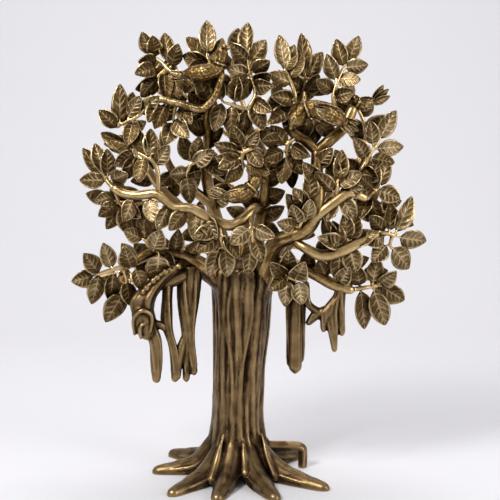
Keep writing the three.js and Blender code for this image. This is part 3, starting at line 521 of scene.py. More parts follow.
def make_blade():
    bm = bmesh.new()
    bmesh.ops.create_grid(bm, x_segments=BLADE_COLUMNS, y_segments=BLADE_ROWS, size=1)
    uv = bm.loops.layers.uv.new("leaf")
    relief = bm.verts.layers.float.new("relief")
    flat = {v: (v.co.x * (RIM if abs(v.co.x) < 1 else 1), (v.co.y + 1) / 2) for v in bm.verts}
    for face in bm.faces:
        for loop in face.loops:
            across, along = flat[loop.vert]
            loop[uv].uv = ((across + 1) / 2, along)
    for vert, (across, along) in flat.items():
        side = abs(across)
        row = round(along * BLADE_ROWS)
        rise = 0.0 if side in (0, 1) or row in (0, BLADE_ROWS) else (1 if row % 2 == 0 else -1)
        forward = along + CHEVRON * side * along * (1 - along) * 2
        crown = {0: MIDRIB_RISE, 1: RIM_RISE}.get(side, 0.0)
        vert.co = (across * half_width(forward), forward, crown + VEIN_RISE * rise)
        carving = {0: MIDRIB_RELIEF, 1: RIM_RELIEF}
        vert[relief] = carving.get(side, FURROW_RELIEF + VEIN_RELIEF * rise)
    rim = [e for e in bm.edges if e.is_boundary]
    wall = bmesh.ops.extrude_edge_only(bm, edges=rim)["geom"]
    under = [g for g in wall if isinstance(g, bmesh.types.BMVert)]
    for vert in under:
        vert.co.z = UNDERSIDE
        vert.co.x *= UNDERCUT
        vert[relief] = UNDER_RELIEF
    bmesh.ops.holes_fill(bm, edges=[g for g in wall if isinstance(g, bmesh.types.BMEdge)], sides=0)
    bmesh.ops.remove_doubles(bm, verts=bm.verts[:], dist=1e-4)
    bmesh.ops.recalc_face_normals(bm, faces=bm.faces[:])
    for face in bm.faces:
        face.smooth = len(face.verts) == 4
    mesh = bpy.data.meshes.new("blade")
    bm.to_mesh(mesh)
    bm.free()
    return mesh


blade = make_blade()
print("faces on one leaf:", len(blade.polygons))

# %% Set a leaf on its stem
LEAF_RELIEF = 1.25
LEAF_CURL = 0.07
CUP_ROUND, CUP_STRAIGHT = 0.4, 0.6
SHADE = 0.22  # how much one leaf may be rubbed more or less than the next
random.seed(7)


def add_leaf(bm, base, tip, width, face, roll, fold):
    """face: -1 looks to the front and 1 to the back; fold lifts the edges, or drops them below 0."""
    axis = tip - base
    length = axis.length
    axis.normalize()
    up = (Vector((0, face, 0)) - axis * (face * axis.y)).normalized()
    up = Matrix.Rotation(roll, 3, axis) @ up
    side = axis.cross(up)
    old = len(bm.verts)
    bm.from_mesh(blade)
    bm.verts.ensure_lookup_table()
    new = bm.verts[old:]
    relief = bm.verts.layers.float["relief"]
    shade = random.uniform(-SHADE, SHADE)
    for vert in new:
        vert[relief] += shade
        across, along, height = vert.co
        droop = LEAF_CURL * length * along ** 2
        cup = fold * width * (across ** 2 * CUP_ROUND + abs(across) * CUP_STRAIGHT)
        thick = LEAF_RELIEF * min(1, 0.45 + 2.2 * min(along, 1.15 - along))  # thin at both ends
        vert.co = (base + axis * (length * along) + side * (across * width / 2)
                   + up * (height * thick - droop + cup))
    if axis.cross(up).dot(side) < 0:
        bmesh.ops.reverse_faces(bm, faces=list({f for v in new for f in v.link_faces}))


# %% Leaves and their stalks, as they are drawn
FULLNESS = 1.06  # a carved leaf is fuller than the plain blade that it is drawn as
MOST_ROLL = 0.35
MIDDLE_FOLD, FOLD_CHANGE = 0.12, 0.2
STALK_RADII = (1.3, 1.1, 0.8)
STALK_REACH = 0.12  # how far up the leaf its stalk runs, as a share of its length


def grow_leaves(leaves_bm, wood_bm, drawn_leaves, heel_at, depth_at, face):
    """heel_at and depth_at give, for a drawn place, where the stalk starts and how deep it lies."""
    for order, drawn in enumerate(drawn_leaves):
        base_x, base_z, tip_x, tip_z = drawn[:4]
        width = drawn[4] if len(drawn) > 4 else LEAF_WIDTH
        heel = heel_at(base_x, base_z)
        out = face * lean(math.hypot(tip_x - base_x, tip_z - base_z))
        base = Vector((base_x, depth_at(base_x, base_z, heel), base_z))
        tip = Vector((tip_x, depth_at(tip_x, tip_z, heel) + out, tip_z))
        roll = MOST_ROLL * math.sin(2.4 * order + base_x)
        fold = MIDDLE_FOLD + FOLD_CHANGE * math.sin(1.9 * order + base_z)
        add_leaf(leaves_bm, base, tip, width * FULLNESS, face, roll, fold)
        if (heel - base).length > 1:
            into = base + (tip - base) * STALK_REACH
            sweep(wood_bm, [heel, base, into], STALK_RADII, sides=6)

# %% [markdown]
# ## The drawing of the tree
# Lists hold what is particular to each casting, in millimetres. A leaf is (base x, base z, tip x,
# tip z, width). A spray's peg is where its stem is let into a bough, and its lift raises or sinks it
# on the dome. Every path is a list of (x, y, z). The makers that follow turn these into shapes.

# %% The sprays on the face
FRONT_SPRAYS = {
    "spray_crown_left": dict(
        peg=(-27, -28, 285), lift=-9,
        stem=[(-38, 293), (-50, 302), (-58, 305), (-64, 311), (-70, 315)],
        leaves=[(-71, 317, -79, 333), (-69, 315, -70, 330), (-58, 311, -62.5, 333),
            (-57, 308, -51.5, 324), (-68, 313, -80, 311), (-68, 307, -83, 303), (-66, 299, -82.5, 291),
            (-62, 303, -60, 285), (-55, 303, -51, 286), (-67, 301, -78, 286, 13)]),
    "spray_left_upper": dict(
        peg=(-31, -24, 276), lift=-2,
        stem=[(-42, 279), (-57, 283), (-68, 283), (-80, 273), (-94, 266)],
        twigs=[[(-54, 276), (-55, 268)]],
        leaves=[(-94, 268, -94, 296, 12), (-96, 264, -109, 277), (-88, 271, -79, 287),
            (-78, 274, -65, 287, 12), (-60, 281, -68, 264), (-84, 268, -88, 252),
            (-55, 268, -60, 253, 13), (-54, 270, -44, 258, 13), (-50, 280, -42, 268),
            (-66, 283, -72, 269)]),
    "spray_left_high": dict(
        peg=(-66, -35, 217), lift=0,
        stem=[(-66, 232), (-69, 240), (-77, 245), (-86, 249)],
        leaves=[(-84, 247, -97, 237, 12), (-76, 243, -80, 226, 12), (-71, 243, -71, 264),
            (-82, 250, -101, 256, 13), (-86, 251, -109, 260), (-82, 244, -91, 227, 12),
            (-67, 238, -58, 252), (-75, 245, -82, 265, 12)]),
    "spray_left_tip": dict(
        peg=(-99, -28, 221), lift=-1,
        stem=[(-104, 226), (-107, 232)],
        twigs=[[(-96, 213), (-93, 207)]],
        leaves=[(-108, 231, -123, 249, 12), (-106, 233, -113, 253), (-103, 229, -103, 249),
            (-105, 226, -125, 226, 12), (-98, 215, -112, 211), (-96, 210, -110, 200),
            (-94, 207, -106, 190), (-91, 208, -89, 186, 12), (-92, 211, -79, 200),
            (-101, 227, -88, 231, 12)]),
    "spray_left_inner": dict(
        peg=(-52, -11, 226), lift=-12,
        stem=[(-46, 232), (-42, 240)],
        leaves=[(-45, 232, -57, 231, 12), (-43, 240, -50, 259), (-40, 239, -36, 258),
            (-46, 230, -43, 209, 13), (-41, 238, -26, 248)]),
    "spray_left_shoulder": dict(
        peg=(-70, -21, 174), lift=2,
        stem=[(-74, 180), (-76, 184)],
        leaves=[(-76, 182, -77, 206), (-73, 184, -67, 203), (-78, 184, -90, 191),
            (-70, 176, -64, 191, 14), (-66, 173, -69, 147, 18), (-75, 184, -83, 205)]),
    "spray_lower_left": dict(
        peg=(-86, -23, 165), lift=0,
        stem=[(-92, 163), (-101, 160), (-112, 156), (-118, 154)],
        twigs=[[(-91, 153), (-93, 144)]],
        leaves=[(-112, 157, -122, 172, 13), (-102, 161, -107, 180, 12), (-87, 162, -91, 178, 14),
            (-117, 154, -131.4, 151, 13), (-112, 155, -118, 132, 13), (-101, 157, -104, 134, 12),
            (-91, 151, -88, 133, 12), (-94, 142, -108, 118, 16), (-84, 161, -78, 146, 12)]),
    "spray_crown_mid_left": dict(
        peg=(-23, -30, 292), lift=-8,
        stem=[(-27, 306), (-31, 315)],
        leaves=[(-31, 316, -31, 342, 12), (-32, 313, -46, 330), (-26, 308, -20, 329, 12),
            (-26, 304, -40, 296), (-29, 309, -49, 316, 13), (-30, 310, -44, 306)]),
    "spray_crown_centre": dict(
        peg=(-4, -20, 268), lift=-4,
        stem=[(-1, 278), (4, 288), (0, 303), (-2, 316)],
        twigs=[[(-10, 280), (-20, 283)]],
        leaves=[(-2, 316, -2, 340, 12), (0, 310, 12, 327, 13), (-1, 311, -14, 324), (-1, 302, -16, 306),
            (1, 299, -10, 283), (3, 294, 16, 294), (-2, 277, -7, 256), (3, 284, 15, 276),
            (1, 304, 14, 311), (1, 281, 10, 263, 12), (3, 297, 15, 302, 12), (-13, 280, -14, 259, 12),
            (-20, 282, -26, 262, 12), (-20, 284, -24, 302), (-11, 283, -9, 301)]),
    "spray_crown_mid_right": dict(
        peg=(27, -26, 272), lift=-3,
        stem=[(32, 286), (29, 297), (24, 307)],
        leaves=[(25, 307, 21, 331), (28, 299, 38, 318), (29, 296, 14, 303), (31, 284, 16, 287, 12),
            (29, 277, 13, 268, 12), (25, 304, 32, 324), (31, 282, 24, 266)]),
    "spray_crown_right_inner": dict(
        peg=(30, -29, 262), lift=-12,
        stem=[(38, 280), (40, 292), (40, 302)],
        twigs=[[(42, 274), (50, 268)]],
        leaves=[(39, 304, 38, 333), (42, 299, 51, 318), (40, 288, 50, 302), (38, 292, 26, 300),
            (42, 272, 37, 255, 13), (49, 268, 60, 256, 13), (46, 271, 47, 253, 12), (38, 281, 28, 272)]),
    "spray_crown_right": dict(
        peg=(67, -27, 264), lift=-5,
        stem=[(62, 276), (60, 286), (64, 300), (70, 311)],
        leaves=[(68, 308, 62, 328, 12), (71, 311, 79, 331), (62, 298, 55, 317), (69, 307, 85, 309),
            (64, 299, 79, 299), (60, 290, 48, 298), (61, 286, 74, 290)]),
    "spray_centre": dict(
        peg=(9, -17, 246), lift=-2,
        stem=[(2, 250), (-5, 246), (-5, 234)],
        leaves=[(-8, 248, -25, 253), (-7, 243, -22, 237), (-2, 250, 6, 262, 9), (-3, 238, 14, 233),
            (-5, 250, -13, 266), (-6, 238, -17, 226, 10), (-6, 240, -24, 244), (0, 249, 8, 238)]),
    "spray_droop_left": dict(
        peg=(-22, -40, 197), lift=4,
        stem=[(-21, 188), (-19, 179)],
        leaves=[(-23, 187, -38, 177, 13), (-22, 179, -30, 157, 12), (-18, 179, -16, 157, 12),
            (-24, 192, -40, 188), (-18, 188, -8, 172, 10)]),
    "spray_droop_right": dict(
        peg=(0, -37, 202), lift=5,
        stem=[(1, 192), (2, 181)],
        leaves=[(1, 181, -2, 159, 12), (3, 186, 9, 170, 12), (3, 194, 17, 188), (0, 194, -14, 183, 13)]),
    "spray_right_inner_low": dict(
        peg=(34, -33, 188), lift=2,
        stem=[(36, 196), (38, 200)],
        twigs=[[(41, 206), (43, 214)]],
        leaves=[(40, 198, 43, 214), (35, 196, 30, 210), (33, 194, 20, 198), (37, 202, 26, 218),
            (43, 213, 42, 234, 12), (41, 208, 31, 222)]),
    "spray_right_inner_high": dict(
        peg=(34, -30, 258), lift=-6,
        stem=[(28, 254), (26, 246)],
        leaves=[(24, 256, 9, 255, 12), (24, 248, 10, 243, 12), (29, 249, 37, 231, 12),
            (26, 244, 22, 225, 12), (30, 252, 42, 244), (26, 252, 15, 266), (28, 244, 31, 221, 12)]),
    "spray_right_mid": dict(
        peg=(61, -38, 212), lift=3,
        stem=[(62, 219), (62, 227)],
        leaves=[(60, 224, 59, 245), (63, 227, 66, 249), (63, 223, 80, 233, 12), (60, 219, 46, 233, 12),
            (65, 215, 76, 198, 12), (60, 216, 54, 198), (64, 219, 81, 221)]),
    "spray_right_mid_low": dict(
        peg=(66, -36, 176), lift=3,
        stem=[(68, 180), (72, 184)],
        leaves=[(64, 178, 60, 198, 12), (73, 183, 77, 203, 12), (75, 181, 91, 190, 12),
            (65, 175, 64, 152, 13), (72, 178, 77, 159, 15), (66, 181, 49, 187, 12), (70, 184, 68, 204),
            (63, 179, 52, 200, 12)]),
    "spray_right_far": dict(
        peg=(84, -33, 213), lift=-3,
        stem=[(88, 217), (93, 220)],
        leaves=[(87, 219, 92, 239, 12), (94, 222, 101, 242), (93, 219, 109, 213, 13),
            (87, 214, 94, 195, 12), (86, 214, 79, 200), (90, 220, 79, 230)]),
    "spray_right_tip": dict(
        peg=(93, -28, 189), lift=-1,
        stem=[(101, 187), (108, 185)],
        twigs=[[(103, 180), (104, 175)]],
        leaves=[(102, 189, 103, 210, 12), (107, 188, 119, 214, 13), (110, 184, 131.5, 179, 16),
            (105, 176, 119, 159, 16), (100, 178, 89, 168, 13), (98, 189, 87, 201),
            (98, 185, 83, 182, 12)]),
    "spray_right_upper": dict(
        peg=(70, -36, 219), lift=-7,
        stem=[(76, 228), (82, 236), (87, 245), (94, 255)],
        leaves=[(94, 256, 107, 277, 12), (92, 249, 113, 250, 12), (84, 242, 75, 257),
            (89, 252, 87, 269), (88, 242, 105, 239, 12), (78, 232, 67, 242), (82, 235, 92, 226)]),
    "spray_lower_right": dict(
        peg=(76, -24, 146), lift=-4,
        stem=[(86, 146), (96, 147)],
        leaves=[(97, 147, 116, 134, 15), (92, 144, 102, 115, 15), (82, 144, 87, 112, 14),
            (81, 148, 78, 164, 12), (91, 149, 94, 169, 13), (96, 149, 108, 158, 12)]),
    "spray_lower_mid": dict(
        peg=(27, -21, 158), lift=0,
        stem=[(28, 157), (32, 154)],
        leaves=[(27, 155, 25, 133, 12), (35, 153, 38, 136, 13), (33, 155, 39, 168, 14),
            (27, 160, 28, 177, 14), (26, 158, 15, 168), (26, 156, 14, 148)]),
}
print("sprays drawn on the face:", len(FRONT_SPRAYS))

# %% [markdown]
# ## Putting a casting together
# A spray is poured in one piece: its stem and twigs are fused wood, and its leaves are set on them.
# The leaves keep their carved blades, so only the wood is melted together; one object then holds
# both, with a finish for each. It takes the place of the plain CAD solid of the same name.

# %% One object from fused wood and carved leaves
WOOD_VOXEL = 0.65  # millimetres: a third of the thinnest stem


def join_casting(name, wood_bm, leaves_bm, wood_finish):
    for face in wood_bm.faces:
        face.smooth = True
        face.material_index = 0
    if leaves_bm is not None:
        for face in leaves_bm.faces:
            face.material_index = 1
        add_to(wood_bm, leaves_bm)
    bmesh.ops.scale(wood_bm, vec=(MM, MM, MM), verts=wood_bm.verts[:])
    piece = mesh_object(name, wood_bm, [wood_finish, leaf_brass])
    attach(piece, "root")
    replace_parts(piece, name)


# %% A spray on the dome
STEM_RADIUS = 2


def make_spray(name, spray, face):
    def depth(x, z):
        return face * (dome_depth(x, z) + spray["lift"])

    def on_dome(point):
        return Vector((point[0], depth(*point), point[1]))

    wood, leaves = bmesh.new(), bmesh.new()
    stem = [Vector(spray["peg"]), *map(on_dome, spray["stem"])]
    spines = [sweep(wood, stem, [STEM_RADIUS * share for share in (1, 0.9, 0.7)], sides=8)]
    for drawn in spray.get("twigs", []):
        foot = nearest_inside(spines[0], *drawn[0])[0]
        twig = [foot, *map(on_dome, drawn)]
        spines.append(sweep(wood, twig, [STEM_RADIUS * 0.8, STEM_RADIUS * 0.6], sides=8))

    def heels(x, z):
        return min((nearest_inside(spine, x, z) for spine in spines), key=lambda found: found[1])[0]

    grow_leaves(leaves, wood, spray["leaves"], heels, lambda x, z, heel: depth(x, z), face)
    join_casting(name, fused(wood, WOOD_VOXEL), leaves, bough_brass)


for name, spray in FRONT_SPRAYS.items():
    make_spray(name, spray, -1)
print("sprays made on the face:", len(FRONT_SPRAYS))

# %% [markdown]
# ## The back of the crown
# The back is a second, plainer crown, so its leaves needn't be drawn one by one. A laurel or a ficus
# sets its leaves alternately along the stem, and a loop can do the same from the stem and a count.

# %% The sprays on the back
BACK_SPRAYS = {
    "spray_back_lower_left": dict(
        peg=(-32, 20, 174), lift=-2, count=8,
        stem=[(-52, 170), (-76, 163), (-102, 152)]),
    "spray_back_left": dict(
        peg=(-60, 28, 207), lift=-1, count=7,
        stem=[(-76, 206), (-92, 204), (-108, 208)]),
    "spray_back_left_high": dict(
        peg=(-83, 25, 239), lift=-2, count=6,
        stem=[(-88, 244), (-94, 254), (-92, 270)]),
    "spray_back_crown_left": dict(
        peg=(0, 31, 246), lift=-3, count=9,
        stem=[(-24, 262), (-46, 284), (-66, 302)]),
    "spray_back_crown": dict(
        peg=(-4, 26, 277), lift=-2, count=7,
        stem=[(-8, 288), (-14, 302), (-12, 318)]),
    "spray_back_crown_right": dict(
        peg=(0, 30, 256), lift=1, count=8,
        stem=[(18, 270), (34, 288), (46, 306)]),
    "spray_back_right_high": dict(
        peg=(83, 25, 237), lift=-2, count=6,
        stem=[(88, 250), (87, 266), (78, 284)]),
    "spray_back_right": dict(
        peg=(60, 28, 209), lift=0, count=7,
        stem=[(78, 206), (94, 202), (108, 196)]),
    "spray_back_lower_right": dict(
        peg=(26, 20, 173), lift=-3, count=8,
        stem=[(48, 168), (72, 160), (92, 146)]),
    "spray_back_low": dict(
        peg=(-4, 26, 180), lift=2, count=5,
        stem=[(-10, 176), (-14, 166)]),
    "spray_back_middle": dict(
        peg=(2, 33, 214), lift=3, count=6,
        stem=[(-12, 216), (-25, 223), (-36, 234)]),
}

# %% Alternate leaves along a stem
NARROW_TURN, WIDE_TURN = 0.85, 1.35  # radians between a leaf and its stem
BACK_LEAF_LENGTH, BACK_LEAF_CHANGE = LEAF_LENGTH - 2, 2


def alternate_leaves(stem, count):
    """Leaves to either side of a stem, with one at its end; every third stands out wider."""
    line = smooth_line([(x, 0, z) for x, z in stem])
    leaves = []
    for order in range(count):
        along = min((order + 0.6) / (count - 0.4), 1)
        spot = along * (len(line) - 1)
        here, ahead = line[int(spot)], line[min(int(spot) + 1, len(line) - 1)]
        run = line[-1] - line[-2] if ahead == here else ahead - here
        side = 1 if order % 2 == 0 else -1
        turn = 0 if order == count - 1 else side * (WIDE_TURN if order % 3 == 2 else NARROW_TURN)
        heading = math.atan2(run.z, run.x) + turn
        length = BACK_LEAF_LENGTH + BACK_LEAF_CHANGE * math.sin(order * 1.7 + stem[0][0])
        leaves.append((here.x, here.z, here.x + math.cos(heading) * length,
                       here.z + math.sin(heading) * length))
    return leaves


for name, spray in BACK_SPRAYS.items():
    make_spray(name, {**spray, "leaves": alternate_leaves(spray["stem"], spray["count"])}, 1)
print("sprays made on the back:", len(BACK_SPRAYS))

# %% [markdown]
# ## Boughs
# The boughs carry the sprays. They are thicker than the stems and polished where a hand reaches
# them. Some have leaves cast straight on. A list gives each bough's radii at even steps along it.

# %% The boughs, from the largest, and the branches that leave them
BOUGHS = {
    "bough_centre": dict(
        radii=(7.5, 6, 5, 4.5, 3.5),
        path=[(-2, -3, 146), (2, -6, 165), (6, -10, 185), (10, -13, 205), (12, -15, 235), (8, -17, 247),
            (2, -18, 258), (-4, -20, 269)],
        leaves=[(11, 222, 26, 233, 12), (10, 211, 25, 218, 12), (11, 232, 22, 247), (8, 205, -6, 212),
            (11, 226, -2, 234), (9, 200, 25, 206, 12), (8, 192, 22, 185, 12)]),
    "bough_right_main": dict(
        radii=(7, 5.5, 4.5, 4, 3.5),
        path=[(8, -8, 148), (13, -16, 166), (20, -26, 181), (30, -32, 186), (40, -35, 191),
            (46, -37, 200), (49, -37, 214), (48, -34, 232), (48, -31, 250)],
        leaves=[(48, 236, 58, 250), (48, 226, 38, 240)]),
    "bough_left_low": dict(
        radii=(8, 7, 5, 4, 3.2),
        path=[(-20, -5, 146), (-31, -9, 157), (-44, -14, 167), (-60, -18, 172), (-74, -21, 172),
            (-87, -23, 165)],
        leaves=[(-56, 172, -52, 190), (-64, 174, -56, 160, 12), (-46, 169, -36, 182)]),
    "bough_upper_left": dict(
        radii=(7, 5.5, 4.5, 3.6, 3),
        path=[(-14, 3, 148), (-20, 3, 175), (-28, 0, 205), (-33, -6, 235), (-31, -14, 254),
            (-31, -24, 276), (-25, -28, 288), (-23, -30, 296)],
        leaves=[(-31, 274, -44, 288, 12), (-31, 262, -45, 266, 12), (-32, 250, -20, 264),
            (-29, 284, -38, 300), (-30, 268, -16, 272), (-33, 238, -20, 230), (-28, 207, -14, 214)]),
    "bough_right_low": dict(
        radii=(6, 5.5, 4.5, 4.5),
        path=[(6, 2, 146), (14, -10, 164), (22, -18, 166), (28, -21, 157), (31, -20, 148)]),
    "bough_back_left": dict(
        radii=(6.5, 5, 4, 3.2), face=1,
        path=[(-14, 8, 148), (-30, 20, 172), (-50, 26, 198), (-70, 28, 218), (-84, 25, 241)],
        leaves=[(-38, 182, -54, 178), (-42, 188, -38, 206), (-55, 203, -70, 196), (-60, 208, -56, 228),
            (-74, 222, -92, 222), (-78, 230, -70, 248), (-82, 236, -98, 234)]),
    "bough_back_right": dict(
        radii=(6.5, 5, 4, 3.2), face=1,
        path=[(2, 9, 148), (26, 20, 172), (48, 26, 198), (66, 28, 218), (84, 25, 239)],
        leaves=[(34, 182, 50, 180), (38, 187, 32, 206), (50, 200, 66, 194), (56, 207, 50, 226),
            (70, 222, 88, 220), (74, 228, 66, 246), (80, 234, 98, 234)]),
    "bough_back_centre": dict(
        radii=(6.5, 5, 4, 3.2), face=1,
        path=[(-6, 13, 148), (-4, 24, 178), (2, 33, 214), (0, 31, 250), (-4, 26, 279)],
        leaves=[(-3, 184, 14, 188), (-2, 194, -18, 200), (1, 206, 17, 212), (2, 226, 18, 234),
            (1, 238, -14, 250), (0, 252, 16, 262), (-3, 268, -19, 276)]),
    "bough_left_middle": dict(
        radii=(4, 3.6, 3, 2.2),
        path=[(-28, 0, 206), (-40, -6, 216), (-52, -11, 226), (-60, -13, 238), (-64, -14, 254),
            (-62, -13, 270)],
        leaves=[(-63, 268, -74, 282), (-62, 268, -56, 286), (-63, 256, -52, 264), (-56, 231, -66, 222),
            (-47, 221, -36, 232)]),
    "branch_front_left": dict(
        radii=(3.2, 3.4, 3.2, 3, 2.8),
        path=[(8, -13, 203), (3, -30, 206), (-5, -38, 199), (-13, -40, 195), (-22, -40, 197),
            (-31, -40, 201), (-42, -39, 207), (-54, -38, 208), (-67, -35, 217), (-80, -33, 216),
            (-91, -30, 217), (-100, -28, 222)],
        leaves=[(-46, 206, -57, 192, 12), (-38, 204, -40, 185, 12), (-58, 209, -66, 192, 12),
            (-84, 214, -90, 198, 12), (-32, 202, -24, 186), (-72, 214, -70, 198)]),
    "branch_fork_left": dict(
        radii=(2.8, 2.6),
        path=[(48, -31, 248), (41, -31, 254), (33, -30, 259), (27, -28, 266), (27, -26, 274)]),
    "branch_fork_right": dict(
        radii=(3, 2.8),
        path=[(49, -31, 248), (58, -30, 256), (66, -28, 263), (71, -26, 271), (75, -24, 281)]),
    "branch_right_second": dict(
        radii=(3.4, 3.6, 3),
        path=[(43, -36, 195), (52, -40, 205), (61, -39, 212), (71, -37, 218), (85, -33, 213)]),
    "branch_right_swoop": dict(
        radii=(3.2, 4.2, 4.2, 3.4),
        path=[(29, -31, 185), (40, -37, 178), (52, -38, 173), (66, -36, 176), (79, -33, 182),
            (94, -28, 189)]),
    "branch_right_low": dict(
        radii=(3.4, 5, 4.6, 3.4),
        path=[(24, -19, 164), (36, -20, 163), (48, -21, 157), (60, -23, 150), (68, -24, 147),
            (77, -24, 145)],
        leaves=[(56, 155, 50, 168, 12), (66, 150, 72, 164, 12), (44, 162, 42, 176)]),
}

# %% A bough and its own leaves
BOUGH_VOXEL = 0.85
LEAF_SEAT = 1.5  # how far the leaves lie in front of the bough's middle
FULLER = {  # boughs that are cast thicker than they are drawn
    "branch_fork_left": 1.5,
    "branch_fork_right": 1.5,
    "bough_right_main": 1.25,
    "branch_front_left": 1.2,
    "branch_right_second": 1.15,
}


def make_bough(name, path, radii, face=-1, leaves=()):
    wood = bmesh.new()
    spine = sweep(wood, path, [r * FULLER.get(name, 1) for r in radii], sides=12)
    blades = bmesh.new() if leaves else None
    if leaves:
        grow_leaves(blades, wood, leaves, lambda x, z: nearest_inside(spine, x, z)[0],
                    lambda x, z, heel: heel.y + face * LEAF_SEAT, face)
    join_casting(name, fused(wood, BOUGH_VOXEL), blades, bough_brass)


for name, bough in BOUGHS.items():
    make_bough(name, **bough)
print("boughs:", len(BOUGHS))

# %% [markdown]
# ## Hanging air roots
# Thick ropes of root hang from the lowest boughs. Each is a solid core with shallow ridges laid along
# it, and ends round. The outermost one swells into a knob with a fold carved in its face, under an
# arch that is set with small beads.

# %% The ropes of each hanging root: a path and the radii along it
HANGING_ROOTS = {
    "air_root_outer_left": [
        ([(-47, -15, 165), (-53, -24, 163), (-62, -28, 157), (-72, -29, 147), (-79, -29, 136),
            (-76, -30, 124), (-70, -30, 110), (-69, -30, 94), (-69, -30, 77)],
         [4, 4.4, 5, 7, 9.5, 8, 5.4, 4.8, 4.6, 3.4]),
    ],
    "air_root_thin_left": [
        ([(-58, -19, 170), (-60, -24, 152), (-61, -26, 134), (-61, -27, 120), (-57, -27, 104),
            (-55.5, -27, 92), (-55.5, -27, 77)],
         [3, 3.8, 4, 4.8, 3.4, 3.6, 3.2]),
    ],
    "air_root_bundle_left": [
        ([(-48, -15, 165), (-49, -20, 142), (-47, -22, 108), (-47.5, -22, 76)],
         [5.4, 5, 4, 3]),
        ([(-40.5, -13, 162), (-41, -19, 142), (-44, -22, 112), (-41.5, -22, 81)],
         [5, 4.2, 3.4, 3.2]),
    ],
    "air_root_slab_right": [
        ([(30, -20, 150), (30, -20, 125), (30, -20, 87)],
         [3.6, 3.8, 3.4, 3.2]),
        ([(34, -21, 150), (34, -22, 125), (33.5, -22, 82)],
         [3.6, 3.6, 3.4, 3]),
        ([(38, -20, 146), (38, -20, 125), (37.5, -20, 90)],
         [3.6, 3.6, 3.4, 3]),
    ],
    "air_root_fringe_right": [
        ([(67, -24, 147), (66.5, -24, 130), (68, -24, 111)],
         [3.6, 3.8, 2.6]),
        ([(66, -24, 146), (61, -25, 126), (62.5, -25, 99)],
         [3.4, 4.6, 2.4]),
        ([(65, -24, 142), (56, -25, 127), (54, -25, 114)],
         [3.4, 4.6, 2.4]),
        ([(59, -24, 131), (49, -23, 127), (42, -22, 119)],
         [4.4, 4.2, 2.6]),
        ([(52, -24, 128), (43, -22, 135), (41, -21, 152)],
         [3.4, 3, 2.8]),
    ],
}

# %% Ridges laid along a rope
ROPE_RIDGES = 6
ROPE_STEPS = 14
RIDGE_OUT, RIDGE_SHARE, CORE_SHARE = 0.8, 0.3, 0.93  # of the rope's own radius
RIDGE_WANDER = 0.6


def add_rope(bm, path, radii):
    line = even_steps(smooth_line(path), ROPE_STEPS)
    for ridge in range(ROPE_RIDGES):
        angle = 2 * math.pi * ridge / ROPE_RIDGES
        laid = []
        for i, centre in enumerate(line[:-1]):
            share = i / (len(line) - 1)
            out = reading(radii, share) * RIDGE_OUT
            twist = angle + RIDGE_WANDER * math.sin(3 * share + ridge)
            laid.append(centre + Vector((math.cos(twist) * out, math.sin(twist) * out, 0)))
        sweep(bm, laid, [r * RIDGE_SHARE for r in radii], sides=8)
    sweep(bm, path, [r * CORE_SHARE for r in radii], sides=12)


print("swept lines in one rope:", ROPE_RIDGES + 1)

# %% The knob, the fold in its face, and the roots that run together: path, radii and sides
EXTRA_LIMBS = {
    "air_root_outer_left": [
        ([(-80, -31, 138), (-78, -33, 124), (-73, -32, 110)], [6, 7.6, 7.4, 4.5], 16),
        ([(-84, -36, 114), (-84, -38, 127), (-78, -40, 133), (-71.5, -38, 129), (-72.5, -38.5, 116)],
         [1.3, 1.8, 1.8, 1.6, 1.2], 8),
        ([(-79, -40, 112), (-79.5, -41, 121), (-76, -41, 124)], [1.3, 1.5, 1.2], 8),
        ([(-72, -30, 122), (-65, -29, 120), (-60, -27, 115)], [3.4, 3, 2.6], 10),
        ([(-78, -28, 142), (-70, -26, 149), (-58, -23, 153), (-46, -18, 158)], [4, 5.4, 6, 6], 12),
    ],
    "air_root_slab_right": [
        ([(34, -21, 150), (34, -22, 120), (33.5, -22, 83)], [4.6, 5, 5], 12),
    ],
    "air_root_bundle_left": [
        ([(-45, -17, 162), (-45, -21, 120), (-44.5, -22, 92)], [5.2, 4.6, 3.4], 12),
        ([(-47, -22, 114), (-53, -25, 95), (-54.5, -26, 78)], [2.6, 4, 3.2], 12),
    ],
}
print("hanging roots with more than their ropes:", list(EXTRA_LIMBS))

# %% Beads on the arch over the knob
BEADED_ARCH = [(-83, -34, 136), (-76, -35, 147), (-64, -33, 158), (-52, -28, 163)]
BEAD_GAPS = 12
BEAD_RADIUS, BEAD_CHANGE = 2.1, 0.6


def add_bead(bm, place, radius):
    bmesh.ops.create_icosphere(bm, subdivisions=2, radius=radius, matrix=Matrix.Translation(place))


def add_beads(bm):
    for order, place in enumerate(even_steps(smooth_line(BEADED_ARCH), BEAD_GAPS)):
        radius = BEAD_RADIUS + BEAD_CHANGE * math.sin(order * 2.2)
        add_bead(bm, place + Vector((0, 0.4, 0.6)), radius)


# %% A hanging root
def make_hanging_root(name, ropes):
    wood = bmesh.new()
    for path, radii in ropes:
        add_rope(wood, path, radii)
    for path, radii, sides in EXTRA_LIMBS.get(name, ()):
        sweep(wood, path, radii, sides=sides)
    if name == "air_root_outer_left":
        add_beads(wood)
    join_casting(name, fused(wood, WOOD_VOXEL), None, bark_brass)


for name, ropes in HANGING_ROOTS.items():
    make_hanging_root(name, ropes)
print("hanging roots:", len(HANGING_ROOTS))

# %% [markdown]
# ## Birds
# Four small birds sit in the crown: a plump feathered body with a collar, a round head with an eye
# and a beak, a folded wing of three feathers and a fan tail. The body is swept from tail to beak, so
# its path runs that way, and the last two radii are the head's and the beak's.

